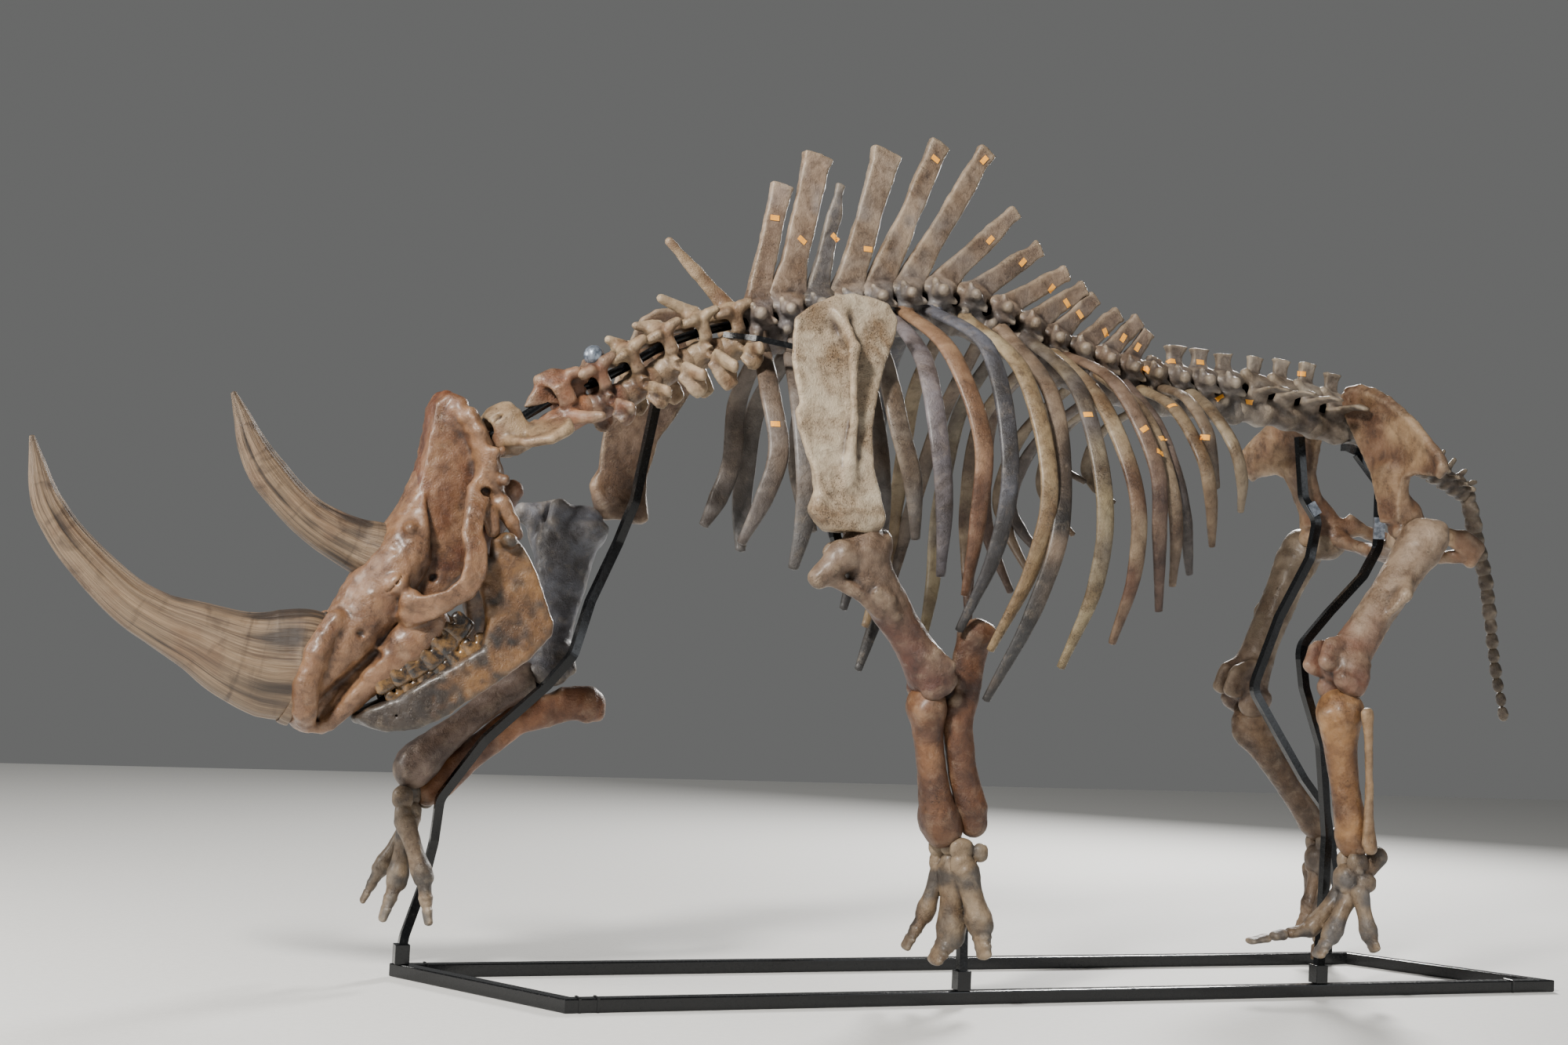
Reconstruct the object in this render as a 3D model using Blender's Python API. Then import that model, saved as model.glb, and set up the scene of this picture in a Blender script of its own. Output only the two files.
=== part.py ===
"""A mounted skeleton of a woolly rhinoceros on its steel armature.

Metres, +Z up. The head is towards -X and the animal's left side towards -Y.
The floor is Z = 0. The animal's plane of symmetry is Y = 0, and LEFT and RIGHT
are its own sides. Each bone is a loft, or several lofts joined, and then it is
trimmed clear of the bones that it meets.
"""

from math import cos, pi, sin

import bmesh
import bpy
from mathutils import Vector

# Driving sizes
BEAM = 0.030  # side of the base frame's square tube
BASE_LENGTH = 2.605  # each long rail, outside
BASE_WIDTH = 0.49  # over both rails
BASE_REAR_X = 1.833  # rear end of the left rail
BASE_SKEW = 0.266  # the right rail stands this much further forward
IRON = 0.010  # half the side of a leg iron
ROD = 0.011  # radius of the rod through the vertebral canals
CANAL = 0.022  # half the width of a vertebral canal
ROOM = 0.0012  # clearance cut between bones that meet
THINNING = 0.62  # share of the faces kept where lofts are joined
FLAT = 0.03  # faces that turn less than this, in radians, are merged

LEFT = -1
RIGHT = 1
FORWARD = Vector((-1, 0, 0))
SIDEWAYS = Vector((0, 1, 0))

# The curve of the backbone at the middle of the vertebral bodies, neck to rump
NECK_LINE = [(-0.87, 1.185), (-0.76, 1.262), (-0.68, 1.30), (-0.605, 1.345),
             (-0.53, 1.395), (-0.455, 1.43), (-0.38, 1.455)]
BACK_LINE = [(-0.32, 1.476), (-0.067, 1.540), (0.185, 1.575), (0.438, 1.490),
             (0.69, 1.440), (0.943, 1.435)]
LOIN_LINE = [(1.02, 1.437), (1.10, 1.434), (1.18, 1.426), (1.26, 1.412)]
TAIL_LINE = [(1.60, 1.330), (1.67, 1.290), (1.715, 1.225), (1.755, 1.150),
             (1.79, 1.060), (1.812, 0.960), (1.828, 0.860), (1.846, 0.770),
             (1.870, 0.690)]

# Neural spines of the back: the tip seen from the side, and depth at root and tip
BACK_SPINES = [
    (-0.291, 1.850, 0.060, 0.050), (-0.200, 1.933, 0.070, 0.068), (-0.137, 1.871, 0.050, 0.032),
    (-0.026, 1.965, 0.068, 0.062), (0.116, 2.005, 0.060, 0.042), (0.244, 2.005, 0.056, 0.038),
    (0.329, 1.866, 0.056, 0.040), (0.401, 1.782, 0.056, 0.038), (0.478, 1.731, 0.056, 0.040),
    (0.530, 1.700, 0.056, 0.040), (0.560, 1.680, 0.052, 0.038), (0.629, 1.646, 0.050, 0.040),
    (0.689, 1.637, 0.050, 0.040), (0.715, 1.610, 0.048, 0.036), (0.738, 1.548, 0.050, 0.046),
    (0.796, 1.583, 0.050, 0.062), (0.868, 1.585, 0.050, 0.060), (0.939, 1.580, 0.046, 0.048),
]

# Each pair of ribs: half the width of the chest there, then the place of the
# rib's widest point and of its tip, seen from the side
RIBS = [
    (0.15, (-0.33, 1.21), (-0.39, 1.00)), (0.19, (-0.28, 1.16), (-0.28, 0.95)),
    (0.21, (-0.17, 1.22), (-0.13, 1.00)), (0.26, (-0.09, 1.25), (-0.02, 1.03)),
    (0.31, (-0.01, 1.23), (0.03, 0.95)), (0.35, (0.07, 1.22), (0.08, 0.91)),
    (0.38, (0.14, 1.20), (0.06, 0.83)), (0.40, (0.23, 1.17), (0.13, 0.79)),
    (0.41, (0.27, 1.12), (0.12, 0.68)), (0.42, (0.36, 1.14), (0.30, 0.76)),
    (0.42, (0.44, 1.16), (0.43, 0.82)), (0.42, (0.49, 1.22), (0.55, 0.90)),
    (0.41, (0.54, 1.21), (0.60, 0.96)), (0.40, (0.58, 1.20), (0.65, 0.99)),
    (0.38, (0.65, 1.25), (0.71, 1.06)), (0.36, (0.69, 1.31), (0.74, 1.19)),
    (0.33, (0.77, 1.30), (0.82, 1.15)), None,
]
RIB_WIDTH = 0.022  # half the diagonal, lengthwise
RIB_THICKNESS = 0.011  # half the diagonal, through the rib
FAR_RIBS_SHORTER = 0.05  # the right ribs end this much higher

# Joints of the four legs: top, middle, ankle. The right legs stand further on.
LEFT_FORELEG = [Vector((-0.180, -0.300, 1.000)), Vector((0.026, -0.279, 0.710)),
                Vector((0.110, -0.240, 0.375))]
RIGHT_FORELEG = [Vector((-0.655, 0.285, 1.045)), Vector((-0.712, 0.251, 0.682)),
                 Vector((-1.015, 0.247, 0.425))]
LEFT_HINDLEG = [Vector((1.397, -0.175, 1.127)), Vector((1.109, -0.270, 0.752)),
                Vector((1.190, -0.255, 0.352))]
RIGHT_HINDLEG = [Vector((1.397, 0.175, 1.127)), Vector((1.200, 0.258, 0.690)),
                 Vector((1.463, 0.235, 0.350))]

# Toes of each foot: place across the foot, knuckle and tip from the ankle, half thickness
LEFT_FORE_TOES = [(-0.050, (-0.045, -0.175), (-0.068, -0.250), 0.018),
                  (0.0, (0.004, -0.215), (-0.035, -0.270), 0.027),
                  (0.055, (0.045, -0.185), (0.052, -0.252), 0.023)]
RIGHT_FORE_TOES = [(-0.050, (0.030, -0.200), (0.045, -0.298), 0.024),
                   (0.0, (-0.018, -0.215), (-0.045, -0.298), 0.024),
                   (0.055, (-0.045, -0.195), (-0.078, -0.268), 0.018)]
LEFT_HIND_TOES = [(-0.045, (-0.085, -0.195), (-0.250, -0.225), 0.022),
                  (0.0, (-0.060, -0.205), (-0.095, -0.250), 0.024),
                  (0.050, (0.010, -0.195), (0.018, -0.228), 0.020)]
RIGHT_HIND_TOES = [(-0.055, (-0.040, -0.205), (-0.060, -0.325), 0.019),
                   (0.0, (-0.030, -0.205), (-0.055, -0.255), 0.024),
                   (0.050, (0.020, -0.200), (0.035, -0.245), 0.020)]

COLOURS = {
    "skull_bone": (0.35, 0.18, 0.09), "horn": (0.20, 0.14, 0.10), "pale_bone": (0.52, 0.42, 0.30),
    "brown_bone": (0.30, 0.17, 0.09), "grey_bone": (0.33, 0.27, 0.22), "dark_bone": (0.14, 0.12, 0.11),
    "black_steel": (0.012, 0.013, 0.016),
}


def clear_scene():
    for thing in list(bpy.data.objects):
        bpy.data.objects.remove(thing)


def material(name):
    """The shared material of this name, made when it is first asked for."""
    found = bpy.data.materials.get(name)
    if found:
        return found
    made = bpy.data.materials.new(name)
    made.use_nodes = True
    shader = made.node_tree.nodes["Principled BSDF"]
    steel = name == "black_steel"
    shader.inputs["Base Color"].default_value = (*COLOURS[name], 1)
    shader.inputs["Roughness"].default_value = 0.35 if steel else 0.6
    shader.inputs["Metallic"].default_value = 0.0
    return made


def new_object(name, mesh, look):
    made = bpy.data.objects.new(name, mesh)
    bpy.context.scene.collection.objects.link(made)
    mesh.materials.clear()
    mesh.materials.append(material(look))
    mesh.polygons.foreach_set("use_smooth", [look != "black_steel"] * len(mesh.polygons))
    return made


def loft(path, sizes, across=SIDEWAYS, sides=6):
    """A closed skin through rings along a path.

    Each size is (half the depth, half the width), the width lying along across.
    """
    path = [Vector(point) for point in path]
    shape = bmesh.new()
    rings = []
    for i, (point, (depth, width)) in enumerate(zip(path, sizes)):
        ahead = path[min(i + 1, len(path) - 1)] - path[max(i - 1, 0)]
        ahead.normalize()
        side = (across - ahead * across.dot(ahead)).normalized()
        up = side.cross(ahead)
        turns = [2 * pi * (k + 0.5) / sides for k in range(sides)]
        rings.append([shape.verts.new(point + up * depth * cos(turn) + side * width * sin(turn))
                      for turn in turns])
    for low, high in zip(rings, rings[1:]):
        for k in range(sides):
            j = (k + 1) % sides
            shape.faces.new((low[k], low[j], high[j], high[k]))
    shape.faces.new(rings[0][::-1])
    shape.faces.new(rings[-1])
    bmesh.ops.recalc_face_normals(shape, faces=shape.faces)
    bmesh.ops.triangulate(shape, faces=shape.faces)
    mesh = bpy.data.meshes.new("loft")
    shape.to_mesh(mesh)
    shape.free()
    return mesh


def evaluated_mesh(thing):
    bpy.context.view_layer.update()
    graph = bpy.context.evaluated_depsgraph_get()
    return bpy.data.meshes.new_from_object(thing.evaluated_get(graph))


def combine(mesh, others, operation):
    """The mesh joined with the others, or cut by them, one after the other."""
    body = bpy.data.objects.new("body", mesh)
    helpers = []
    for i, other in enumerate(others):
        helper = bpy.data.objects.new(f"helper_{i}", other)
        modifier = body.modifiers.new(f"step_{i}", "BOOLEAN")
        modifier.operation = operation
        modifier.object = helper
        helpers.append(helper)
    for thing in [body, *helpers]:
        bpy.context.scene.collection.objects.link(thing)
    result = evaluated_mesh(body)
    for thing in [body, *helpers]:
        bpy.data.objects.remove(thing)
    return result


def thinned(mesh, keep=THINNING):
    """The mesh with the narrow faces along its seams merged away."""
    body = bpy.data.objects.new("body", mesh)
    bpy.context.scene.collection.objects.link(body)
    flat = body.modifiers.new("flat", "DECIMATE")
    flat.decimate_type = "DISSOLVE"
    flat.angle_limit = FLAT
    body.modifiers.new("triangles", "TRIANGULATE")
    body.modifiers.new("thinning", "DECIMATE").ratio = keep
    result = evaluated_mesh(body)
    bpy.data.objects.remove(body)
    return result


def bone(name, shapes, look):
    """One solid bone from lofts that run into each other."""
    mesh = shapes[0]
    if len(shapes) > 1:
        mesh = thinned(combine(shapes[0], shapes[1:], "UNION"))
    return new_object(name, mesh, look)


def swollen(mesh, by):
    """A copy of a closed mesh with every vertex moved outwards."""
    shape = bmesh.new()
    shape.from_mesh(mesh)
    shape.normal_update()
    moved = [vertex.co + vertex.normal * by * min(vertex.calc_shell_factor(), 2.5) for vertex in shape.verts]
    for vertex, place in zip(shape.verts, moved):
        vertex.co = place
    copy = bpy.data.meshes.new("swollen")
    shape.to_mesh(copy)
    shape.free()
    return copy


def largest_piece(mesh):
    """The mesh without the loose crumbs that a cut can leave."""
    shape = bmesh.new()
    shape.from_mesh(mesh)
    waiting = set(shape.verts)
    pieces = []
    while waiting:
        piece = set()
        front = [waiting.pop()]
        while front:
            vertex = front.pop()
            piece.add(vertex)
            for edge in vertex.link_edges:
                other = edge.other_vert(vertex)
                if other in waiting:
                    waiting.remove(other)
                    front.append(other)
        pieces.append(piece)
    keep = max(pieces, key=len)
    bmesh.ops.delete(shape, geom=[v for v in shape.verts if v not in keep], context="VERTS")
    shape.to_mesh(mesh)
    shape.free()
    return mesh


def make_room(thing, *neighbours):
    """Trims a bone clear of the neighbours that it meets."""
    cutters = [swollen(other.data, ROOM) for other in neighbours]
    look = thing.data.materials[0].name
    thing.data = largest_piece(combine(thing.data, cutters, "DIFFERENCE"))
    thing.data.materials.clear()
    thing.data.materials.append(material(look))
    thing.data.polygons.foreach_set("use_smooth", [True] * len(thing.data.polygons))


def curve_point(points, t):
    """The point at t, from 0 to 1, of a smooth curve through the points."""
    points = [Vector((point[0], 0, point[1])) if len(point) == 2 else point for point in points]
    place = t * (len(points) - 1)
    i = min(int(place), len(points) - 2)
    u = place - i
    before, start, end, after = (points[min(max(i + k, 0), len(points) - 1)] for k in (-1, 0, 1, 2))
    return 0.5 * (2 * start + (end - before) * u + (2 * before - 5 * start + 4 * end - after) * u ** 2
                  + (3 * start - before - 3 * end + after) * u ** 3)


# Vertebrae


def canal_path():
    """The line of the canal above the vertebral bodies, neck to rump."""
    back = [curve_point(BACK_LINE, k / 9) for k in range(10)]
    bodies = [Vector((x, 0, z)) for x, z in NECK_LINE] + back + [Vector((x, 0, z)) for x, z in LOIN_LINE]
    heights = [0.052] * len(NECK_LINE) + [0.049] * (len(back) + len(LOIN_LINE))
    places = []
    for i, (body, height) in enumerate(zip(bodies, heights)):
        ahead = (bodies[min(i + 1, len(bodies) - 1)] - bodies[max(i - 1, 0)]).normalized()
        places.append(body + Vector((-ahead.z, 0, ahead.x)) * height)
    return places


def vertebra(middle, ahead, body, arch, spine, wings, ribs=()):
    """A vertebra: body, arch round the canal, neural spine and transverse wings.

    body is (length, half height, half width), spine is (tip x, tip z, root, tip
    depth) or None, and wings are (reach, drop, half depth, sweep) on each side.
    """
    up = Vector((-ahead.z, 0, ahead.x))
    length, high, wide = body
    canal = middle + up * (high + CANAL * 0.6)
    roof = canal + up * CANAL
    shapes = [loft([middle - ahead * length / 2, middle, middle + ahead * length / 2],
                   [(high, wide), (high * 0.88, wide * 0.88), (high, wide)], sides=6)]
    shapes.append(loft([canal - ahead * length * 0.40, canal + ahead * length * 0.40],
                       [(CANAL + 0.024, arch)] * 2, sides=4))
    if spine:
        tip_x, tip_z, root, tip = spine
        end = Vector((tip_x, 0, tip_z))
        depths = (root, root * 0.62 + tip * 0.2, tip, tip * 0.8)
        shapes.append(loft([roof.lerp(end, share) for share in (0, 0.25, 0.9, 1.0)],
                           [(d * 0.66, w) for d, w in zip(depths, (0.020, 0.013, 0.014, 0.010))], sides=4))
    out, drop, depth, sweep = wings
    for side in (LEFT, RIGHT):
        start = canal + SIDEWAYS * side * CANAL * 0.9
        wing_tip = canal + SIDEWAYS * side * out - up * drop + ahead * sweep
        shapes.append(loft([start, wing_tip], [(0.019, depth * 1.3), (0.013, depth * 1.2)], across=ahead,
                           sides=4))
    mesh = combine(shapes[0], shapes[1:] + list(ribs), "UNION")
    tunnel = loft([canal - ahead * 0.12, canal + ahead * 0.12], [(CANAL * 1.25, CANAL * 1.25)] * 2, sides=4)
    return thinned(combine(mesh, [tunnel], "DIFFERENCE"))


def rib(root, half_width, belly, tip, side, broad):
    """One curved rib from the vertebra round the chest to its tip."""
    outline = [root, (root.x * 0.75 + belly[0] * 0.25, root.z * 0.66 + belly[1] * 0.34 + 0.05),
               (belly[0], belly[1]), ((belly[0] + tip[0]) / 2 + (belly[0] - tip[0]) * 0.10,
                                      (belly[1] + tip[1]) / 2), tip]
    spread = (0.045 / half_width, 0.66, 1.0, 0.96, 0.82)
    places = [Vector((p[0], side * half_width * s, p[-1])) for p, s in zip(outline, spread)]
    count = 7
    path = [curve_point(places, k / (count - 1)) for k in range(count)]
    widths = [broad * w for w in (0.75, 0.9, 1.0, 1.05, 1.0, 0.9, 0.6)]
    sizes = [(RIB_THICKNESS * (1.4 - 0.5 * k / count), RIB_WIDTH * w) for k, w in enumerate(widths)]
    return loft(path, sizes, across=Vector((1, 0, 0.15)), sides=4)


def build_neck():
    """Atlas, axis and the five other neck vertebrae."""
    line = [Vector((x, 0, z)) for x, z in NECK_LINE]
    # body, half width of the arch, spine, wings
    forms = {
        "atlas": ((0.060, 0.050, 0.062), 0.055, None, (0.165, 0.035, 0.055, 0.035)),
        "axis": ((0.070, 0.042, 0.050), 0.045, (-0.785, 1.372, 0.100, 0.110), (0.090, 0.030, 0.026, 0.0)),
        "cervical_3": ((0.058, 0.040, 0.046), 0.062, (-0.715, 1.392, 0.045, 0.030),
                       (0.120, 0.055, 0.028, 0.0)),
        "cervical_4": ((0.060, 0.040, 0.046), 0.064, (-0.680, 1.447, 0.045, 0.024),
                       (0.125, 0.060, 0.030, 0.0)),
        "cervical_5": ((0.060, 0.040, 0.046), 0.066, (-0.620, 1.490, 0.046, 0.024),
                       (0.130, 0.070, 0.030, 0.0)),
        "cervical_6": ((0.058, 0.040, 0.046), 0.068, (-0.564, 1.554, 0.046, 0.022),
                       (0.135, 0.085, 0.032, 0.0)),
        "cervical_7": ((0.056, 0.040, 0.048), 0.068, (-0.552, 1.686, 0.046, 0.026),
                       (0.125, 0.030, 0.024, 0.0)),
    }
    looks = ("pale_bone", "brown_bone", "brown_bone", "pale_bone", "pale_bone", "pale_bone", "pale_bone")
    made = []
    for i, ((name, form), look) in enumerate(zip(forms.items(), looks)):
        ahead = (line[min(i + 1, 6)] - line[max(i - 1, 0)]).normalized()
        made.append(new_object(name, vertebra(line[i], ahead, *form), look))
    return made


def build_back():
    """The vertebrae of the back, each with its pair of ribs."""
    made = []
    for i, spine in enumerate(BACK_SPINES):
        t = i / (len(BACK_SPINES) - 1)
        middle = curve_point(BACK_LINE, t)
        ahead = (curve_point(BACK_LINE, min(t + 0.03, 1)) - curve_point(BACK_LINE,
                                                                        max(t - 0.03, 0))).normalized()
        up = Vector((-ahead.z, 0, ahead.x))
        ribs = []
        if RIBS[i]:
            half_width, belly, end = RIBS[i]
            broad = 1.25 if i < 5 else 1.0
            head = middle + up * 0.040
            short = (end[0], end[1] + FAR_RIBS_SHORTER)
            ribs = [rib(head, half_width, belly, end, LEFT, broad),
                    rib(head, half_width, belly, short, RIGHT, broad)]
        mesh = vertebra(middle, ahead, (0.056, 0.036, 0.040), 0.045, spine, (0.070, -0.010, 0.018, 0.0), ribs)
        made.append(new_object(f"thoracic_{i + 1:02d}", mesh, "grey_bone"))
    return made


def build_loins():
    """The four loin vertebrae, which touch end to end, as one solid."""
    ahead = Vector((1, 0, -0.12)).normalized()
    bones = []
    for i, (x, z) in enumerate(LOIN_LINE):
        tip_z = 1.562 if i == 3 else 1.583
        bones.append(vertebra(Vector((x, 0, z)), ahead, (0.084, 0.034, 0.042), 0.044,
                              (x - 0.004, tip_z, 0.044, 0.046), (0.150, 0.0, 0.020, 0.0)))
    return bone("lumbar_vertebrae", bones, "grey_bone")


def build_sacrum():
    path = [(1.315, 0, 1.415), (1.36, 0, 1.415), (1.46, 0, 1.390), (1.575, 0, 1.345)]
    body = loft(path, [(0.034, 0.050), (0.034, 0.085), (0.028, 0.055), (0.022, 0.032)], sides=8)
    crest = loft([(1.34, 0, 1.455), (1.45, 0, 1.435), (1.55, 0, 1.385)],
                 [(0.035, 0.010), (0.032, 0.010), (0.02, 0.008)])
    return bone("sacrum", [body, crest], "brown_bone")


def build_tail():
    """The tail, one solid of the form of its eighteen vertebrae."""
    count = 11
    path = [curve_point(TAIL_LINE, k / (count - 1)) for k in range(count)]
    sizes = [(0.032 - 0.022 * k / (count - 1), 0.042 - 0.030 * k / (count - 1)) for k in range(count)]
    spines = [loft([path[k], path[k] + Vector((0.050, 0, 0.035))], [(0.018, 0.008), (0.010, 0.006)], sides=5)
              for k in (0, 1, 2)]
    return bone("tail", [loft(path, sizes), *spines], "dark_bone")


# Head


def build_skull():
    dome = loft([(-1.035, 0, 1.278), (-1.022, 0, 1.235), (-0.985, 0, 1.150), (-1.010, 0, 1.040),
                 (-1.072, 0, 0.920),
                 (-1.135, 0, 0.820), (-1.205, 0, 0.715), (-1.270, 0, 0.615), (-1.295, 0, 0.568)],
                [(0.026, 0.080), (0.062, 0.105), (0.104, 0.095), (0.085, 0.070), (0.095, 0.110),
                 (0.105, 0.085), (0.098, 0.075), (0.066, 0.068), (0.025, 0.045)], sides=10)
    occiput = loft([(-0.965, 0, 1.130), (-0.915, 0, 1.105), (-0.885, 0, 1.085)],
                   [(0.095, 0.125), (0.060, 0.075), (0.035, 0.050)], sides=8)
    cheek_teeth = loft([(-1.185, 0, 0.655), (-1.110, 0, 0.705), (-1.035, 0, 0.775), (-0.985, 0, 0.850)],
                       [(0.030, 0.062), (0.040, 0.075), (0.040, 0.075), (0.030, 0.050)], sides=8)
    arches = []
    for side in (LEFT, RIGHT):
        arches.append(loft([(-1.115, side * 0.09, 0.815), (-1.055, side * 0.145, 0.840),
                            (-0.998, side * 0.165, 0.895),
                            (-0.990, side * 0.155, 0.965), (-0.990, side * 0.10, 1.045)],
                           [(0.030, 0.022), (0.030, 0.018), (0.026, 0.016), (0.028, 0.018), (0.035, 0.03)],
                           across=SIDEWAYS, sides=6))
        arches.append(loft([(-0.960, side * 0.085, 1.090), (-0.915, side * 0.10, 1.035),
                            (-0.893, side * 0.085, 0.990)],
                           [(0.030, 0.024), (0.022, 0.018), (0.012, 0.012)], sides=6))
    return bone("skull", [dome, occiput, cheek_teeth, *arches], "skull_bone")


def build_mandible():
    shapes = []
    for side in (LEFT, RIGHT):
        shapes.append(loft([(-0.925, side * 0.118, 0.974), (-0.895, side * 0.118, 0.925),
                            (-0.870, side * 0.115, 0.850),
                            (-0.875, side * 0.105, 0.768), (-0.972, side * 0.082, 0.684),
                            (-1.068, side * 0.055, 0.614),
                            (-1.165, side * 0.028, 0.576)],
                           [(0.024, 0.024), (0.044, 0.014), (0.064, 0.012), (0.076, 0.014), (0.056, 0.020),
                            (0.044, 0.020), (0.022, 0.016)], sides=6))
    chin = loft([(-1.06, 0, 0.612), (-1.12, 0, 0.592), (-1.19, 0, 0.578)],
                [(0.022, 0.062), (0.020, 0.050), (0.014, 0.042)])
    return bone("mandible", [chin, *shapes], "brown_bone")


def build_horns():
    nasal = [((-1.287, 0, 0.683), 0.124, 0.078), ((-1.385, 0, 0.685), 0.115, 0.070),
             ((-1.475, 0, 0.712), 0.095, 0.058),
             ((-1.563, 0, 0.742), 0.076, 0.046), ((-1.634, 0, 0.783), 0.064, 0.038),
             ((-1.710, 0, 0.845), 0.051, 0.031),
             ((-1.772, 0, 0.905), 0.040, 0.025), ((-1.825, 0, 0.973), 0.033, 0.021),
             ((-1.858, 0, 1.050), 0.021, 0.015),
             ((-1.869, 0, 1.126), 0.005, 0.005)]
    frontal = [((-1.155, 0, 0.930), 0.066, 0.062), ((-1.203, 0, 0.940), 0.062, 0.056),
               ((-1.280, 0, 0.975), 0.048, 0.042),
               ((-1.335, 0, 1.015), 0.042, 0.036), ((-1.392, 0, 1.075), 0.040, 0.033),
               ((-1.437, 0, 1.130), 0.032, 0.027),
               ((-1.467, 0, 1.195), 0.019, 0.017), ((-1.487, 0, 1.262), 0.005, 0.005)]
    made = []
    for name, stations in (("nasal_horn", nasal), ("frontal_horn", frontal)):
        path = [place for place, depth, width in stations]
        sizes = [(depth, width) for place, depth, width in stations]
        made.append(bone(name, [loft(path, sizes, sides=9)], "horn"))
    return made


# Limbs


class Limb:
    """Places a bone's stations between its upper and its lower joint."""

    def __init__(self, top, end, side):
        self.top = top
        self.down = end - top
        along = self.down.normalized()
        self.front = (FORWARD - along * FORWARD.dot(along)).normalized()
        outward = SIDEWAYS * side
        self.out = (outward - along * outward.dot(along) - self.front * outward.dot(self.front)).normalized()

    def place(self, along, front, out):
        """along is a share of the bone's length; front and out are metres."""
        return self.top + self.down * along + self.front * front + self.out * out

    def part(self, stations, across=None, sides=7):
        path = [self.place(*station[:3]) for station in stations]
        return loft(path, [station[3:] for station in stations], across=across or self.out, sides=sides)


def build_scapula(name, top, socket, look):
    """A shoulder blade: a long flat plate with a ridge down its outer face."""
    side = LEFT if top.y < 0 else RIGHT
    limb = Limb(top, socket, side)
    plate = limb.part([(0.0, 0, 0, 0.105, 0.009), (0.10, 0.0, 0, 0.122, 0.010), (0.35, 0.0, 0, 0.100, 0.010),
                       (0.65, 0.01, 0, 0.078, 0.012), (0.84, 0.01, 0, 0.060, 0.018),
                       (0.96, 0.0, 0, 0.072, 0.034)], sides=8)
    ridge = limb.part([(0.08, -0.01, 0.012, 0.012, 0.012), (0.35, -0.01, 0.022, 0.012, 0.018),
                       (0.75, 0.0, 0.012, 0.010, 0.010)], sides=5)
    return bone(name, [plate, ridge], look)


def build_humerus(name, joints, side, broad, look):
    """broad widens the upper half, which is much broader in the right one."""
    limb = Limb(joints[0], joints[1], side)
    shaft = limb.part([(-0.12, -0.010, -0.008, 0.030, 0.034), (-0.03, -0.008, -0.008, 0.056 * broad, 0.058),
                       (0.16, 0.015, 0.0, 0.060 * broad, 0.056), (0.45, 0.008, 0.0, 0.050 * broad, 0.043),
                       (0.70, 0.0, 0.0, 0.044, 0.046), (0.88, 0.0, 0.0, 0.050, 0.068),
                       (1.00, 0.0, 0.0, 0.048, 0.064),
                       (1.07, 0.0, 0.0, 0.030, 0.052)])
    tubercle = limb.part([(0.03, 0.02, 0.010, 0.050, 0.046), (0.05, 0.075, 0.018, 0.038, 0.040),
                          (0.09, 0.112, 0.020, 0.022, 0.028)], sides=6)
    heel = limb.part([(0.80, -0.010, 0.020, 0.032, 0.030), (0.90, -0.052, 0.026, 0.022, 0.020)], sides=5)
    return bone(name, [shaft, tubercle, heel], look)


def build_radius(name, joints, side, look):
    limb = Limb(joints[1], joints[2], side)
    return bone(name, [limb.part([
        (0.11, 0.030, 0.0, 0.042, 0.052), (0.20, 0.034, 0.0, 0.036, 0.044), (0.45, 0.036, 0.0, 0.030, 0.034),
        (0.72, 0.038, 0.0, 0.036, 0.040), (0.90, 0.034, 0.0, 0.046, 0.048),
        (0.97, 0.030, 0.0, 0.038, 0.040)])], look)


def build_ulna(name, joints, side, heel, look):
    """heel says where along the shin the end of the elbow's heel stands."""
    limb = Limb(joints[1], joints[2], side)
    return bone(name, [limb.part([
        (heel - 0.05, -0.122, 0.0, 0.032, 0.028), (heel, -0.112, 0.0, 0.042, 0.034),
        (heel * 0.4, -0.084, 0.0, 0.036, 0.026),
        (0.12, -0.058, 0.0, 0.038, 0.028), (0.28, -0.044, 0.004, 0.028, 0.028),
        (0.60, -0.040, 0.010, 0.026, 0.024),
        (0.85, -0.044, 0.014, 0.032, 0.028), (0.97, -0.042, 0.014, 0.024, 0.024)])], look)


def digit(wrist, knuckle, tip, thick):
    """One long foot bone and the toe below it."""
    toe = knuckle.lerp(tip, 0.55)
    return loft([wrist, wrist.lerp(knuckle, 0.5), knuckle, toe, tip],
                [(thick * 0.9, thick * 1.1), (thick * 0.62, thick * 0.85), (thick * 0.9, thick * 1.1),
                 (thick * 0.7, thick * 0.8), (thick * 0.45, thick)], sides=6)


def build_forefoot(name, ankle, side, toes, look):
    """The wrist bones, three long bones and three toes of a fore foot."""
    wrist = loft([ankle + Vector((0.0, 0, -0.018)), ankle + Vector((0.010, 0, -0.045)),
                  ankle + Vector((0.012, 0, -0.080))],
                 [(0.036, 0.048), (0.040, 0.062), (0.036, 0.060)], sides=8)
    digits = []
    for out, knuckle, tip, thick in toes:
        start = ankle + Vector((out * 0.3, side * out * 0.7, -0.070))
        bend = ankle + Vector((knuckle[0], side * out * 1.1, knuckle[1]))
        end = ankle + Vector((tip[0], side * out * 1.35, tip[1]))
        digits.append(digit(start, bend, end, thick))
    return bone(name, [wrist, *digits], look)


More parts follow.
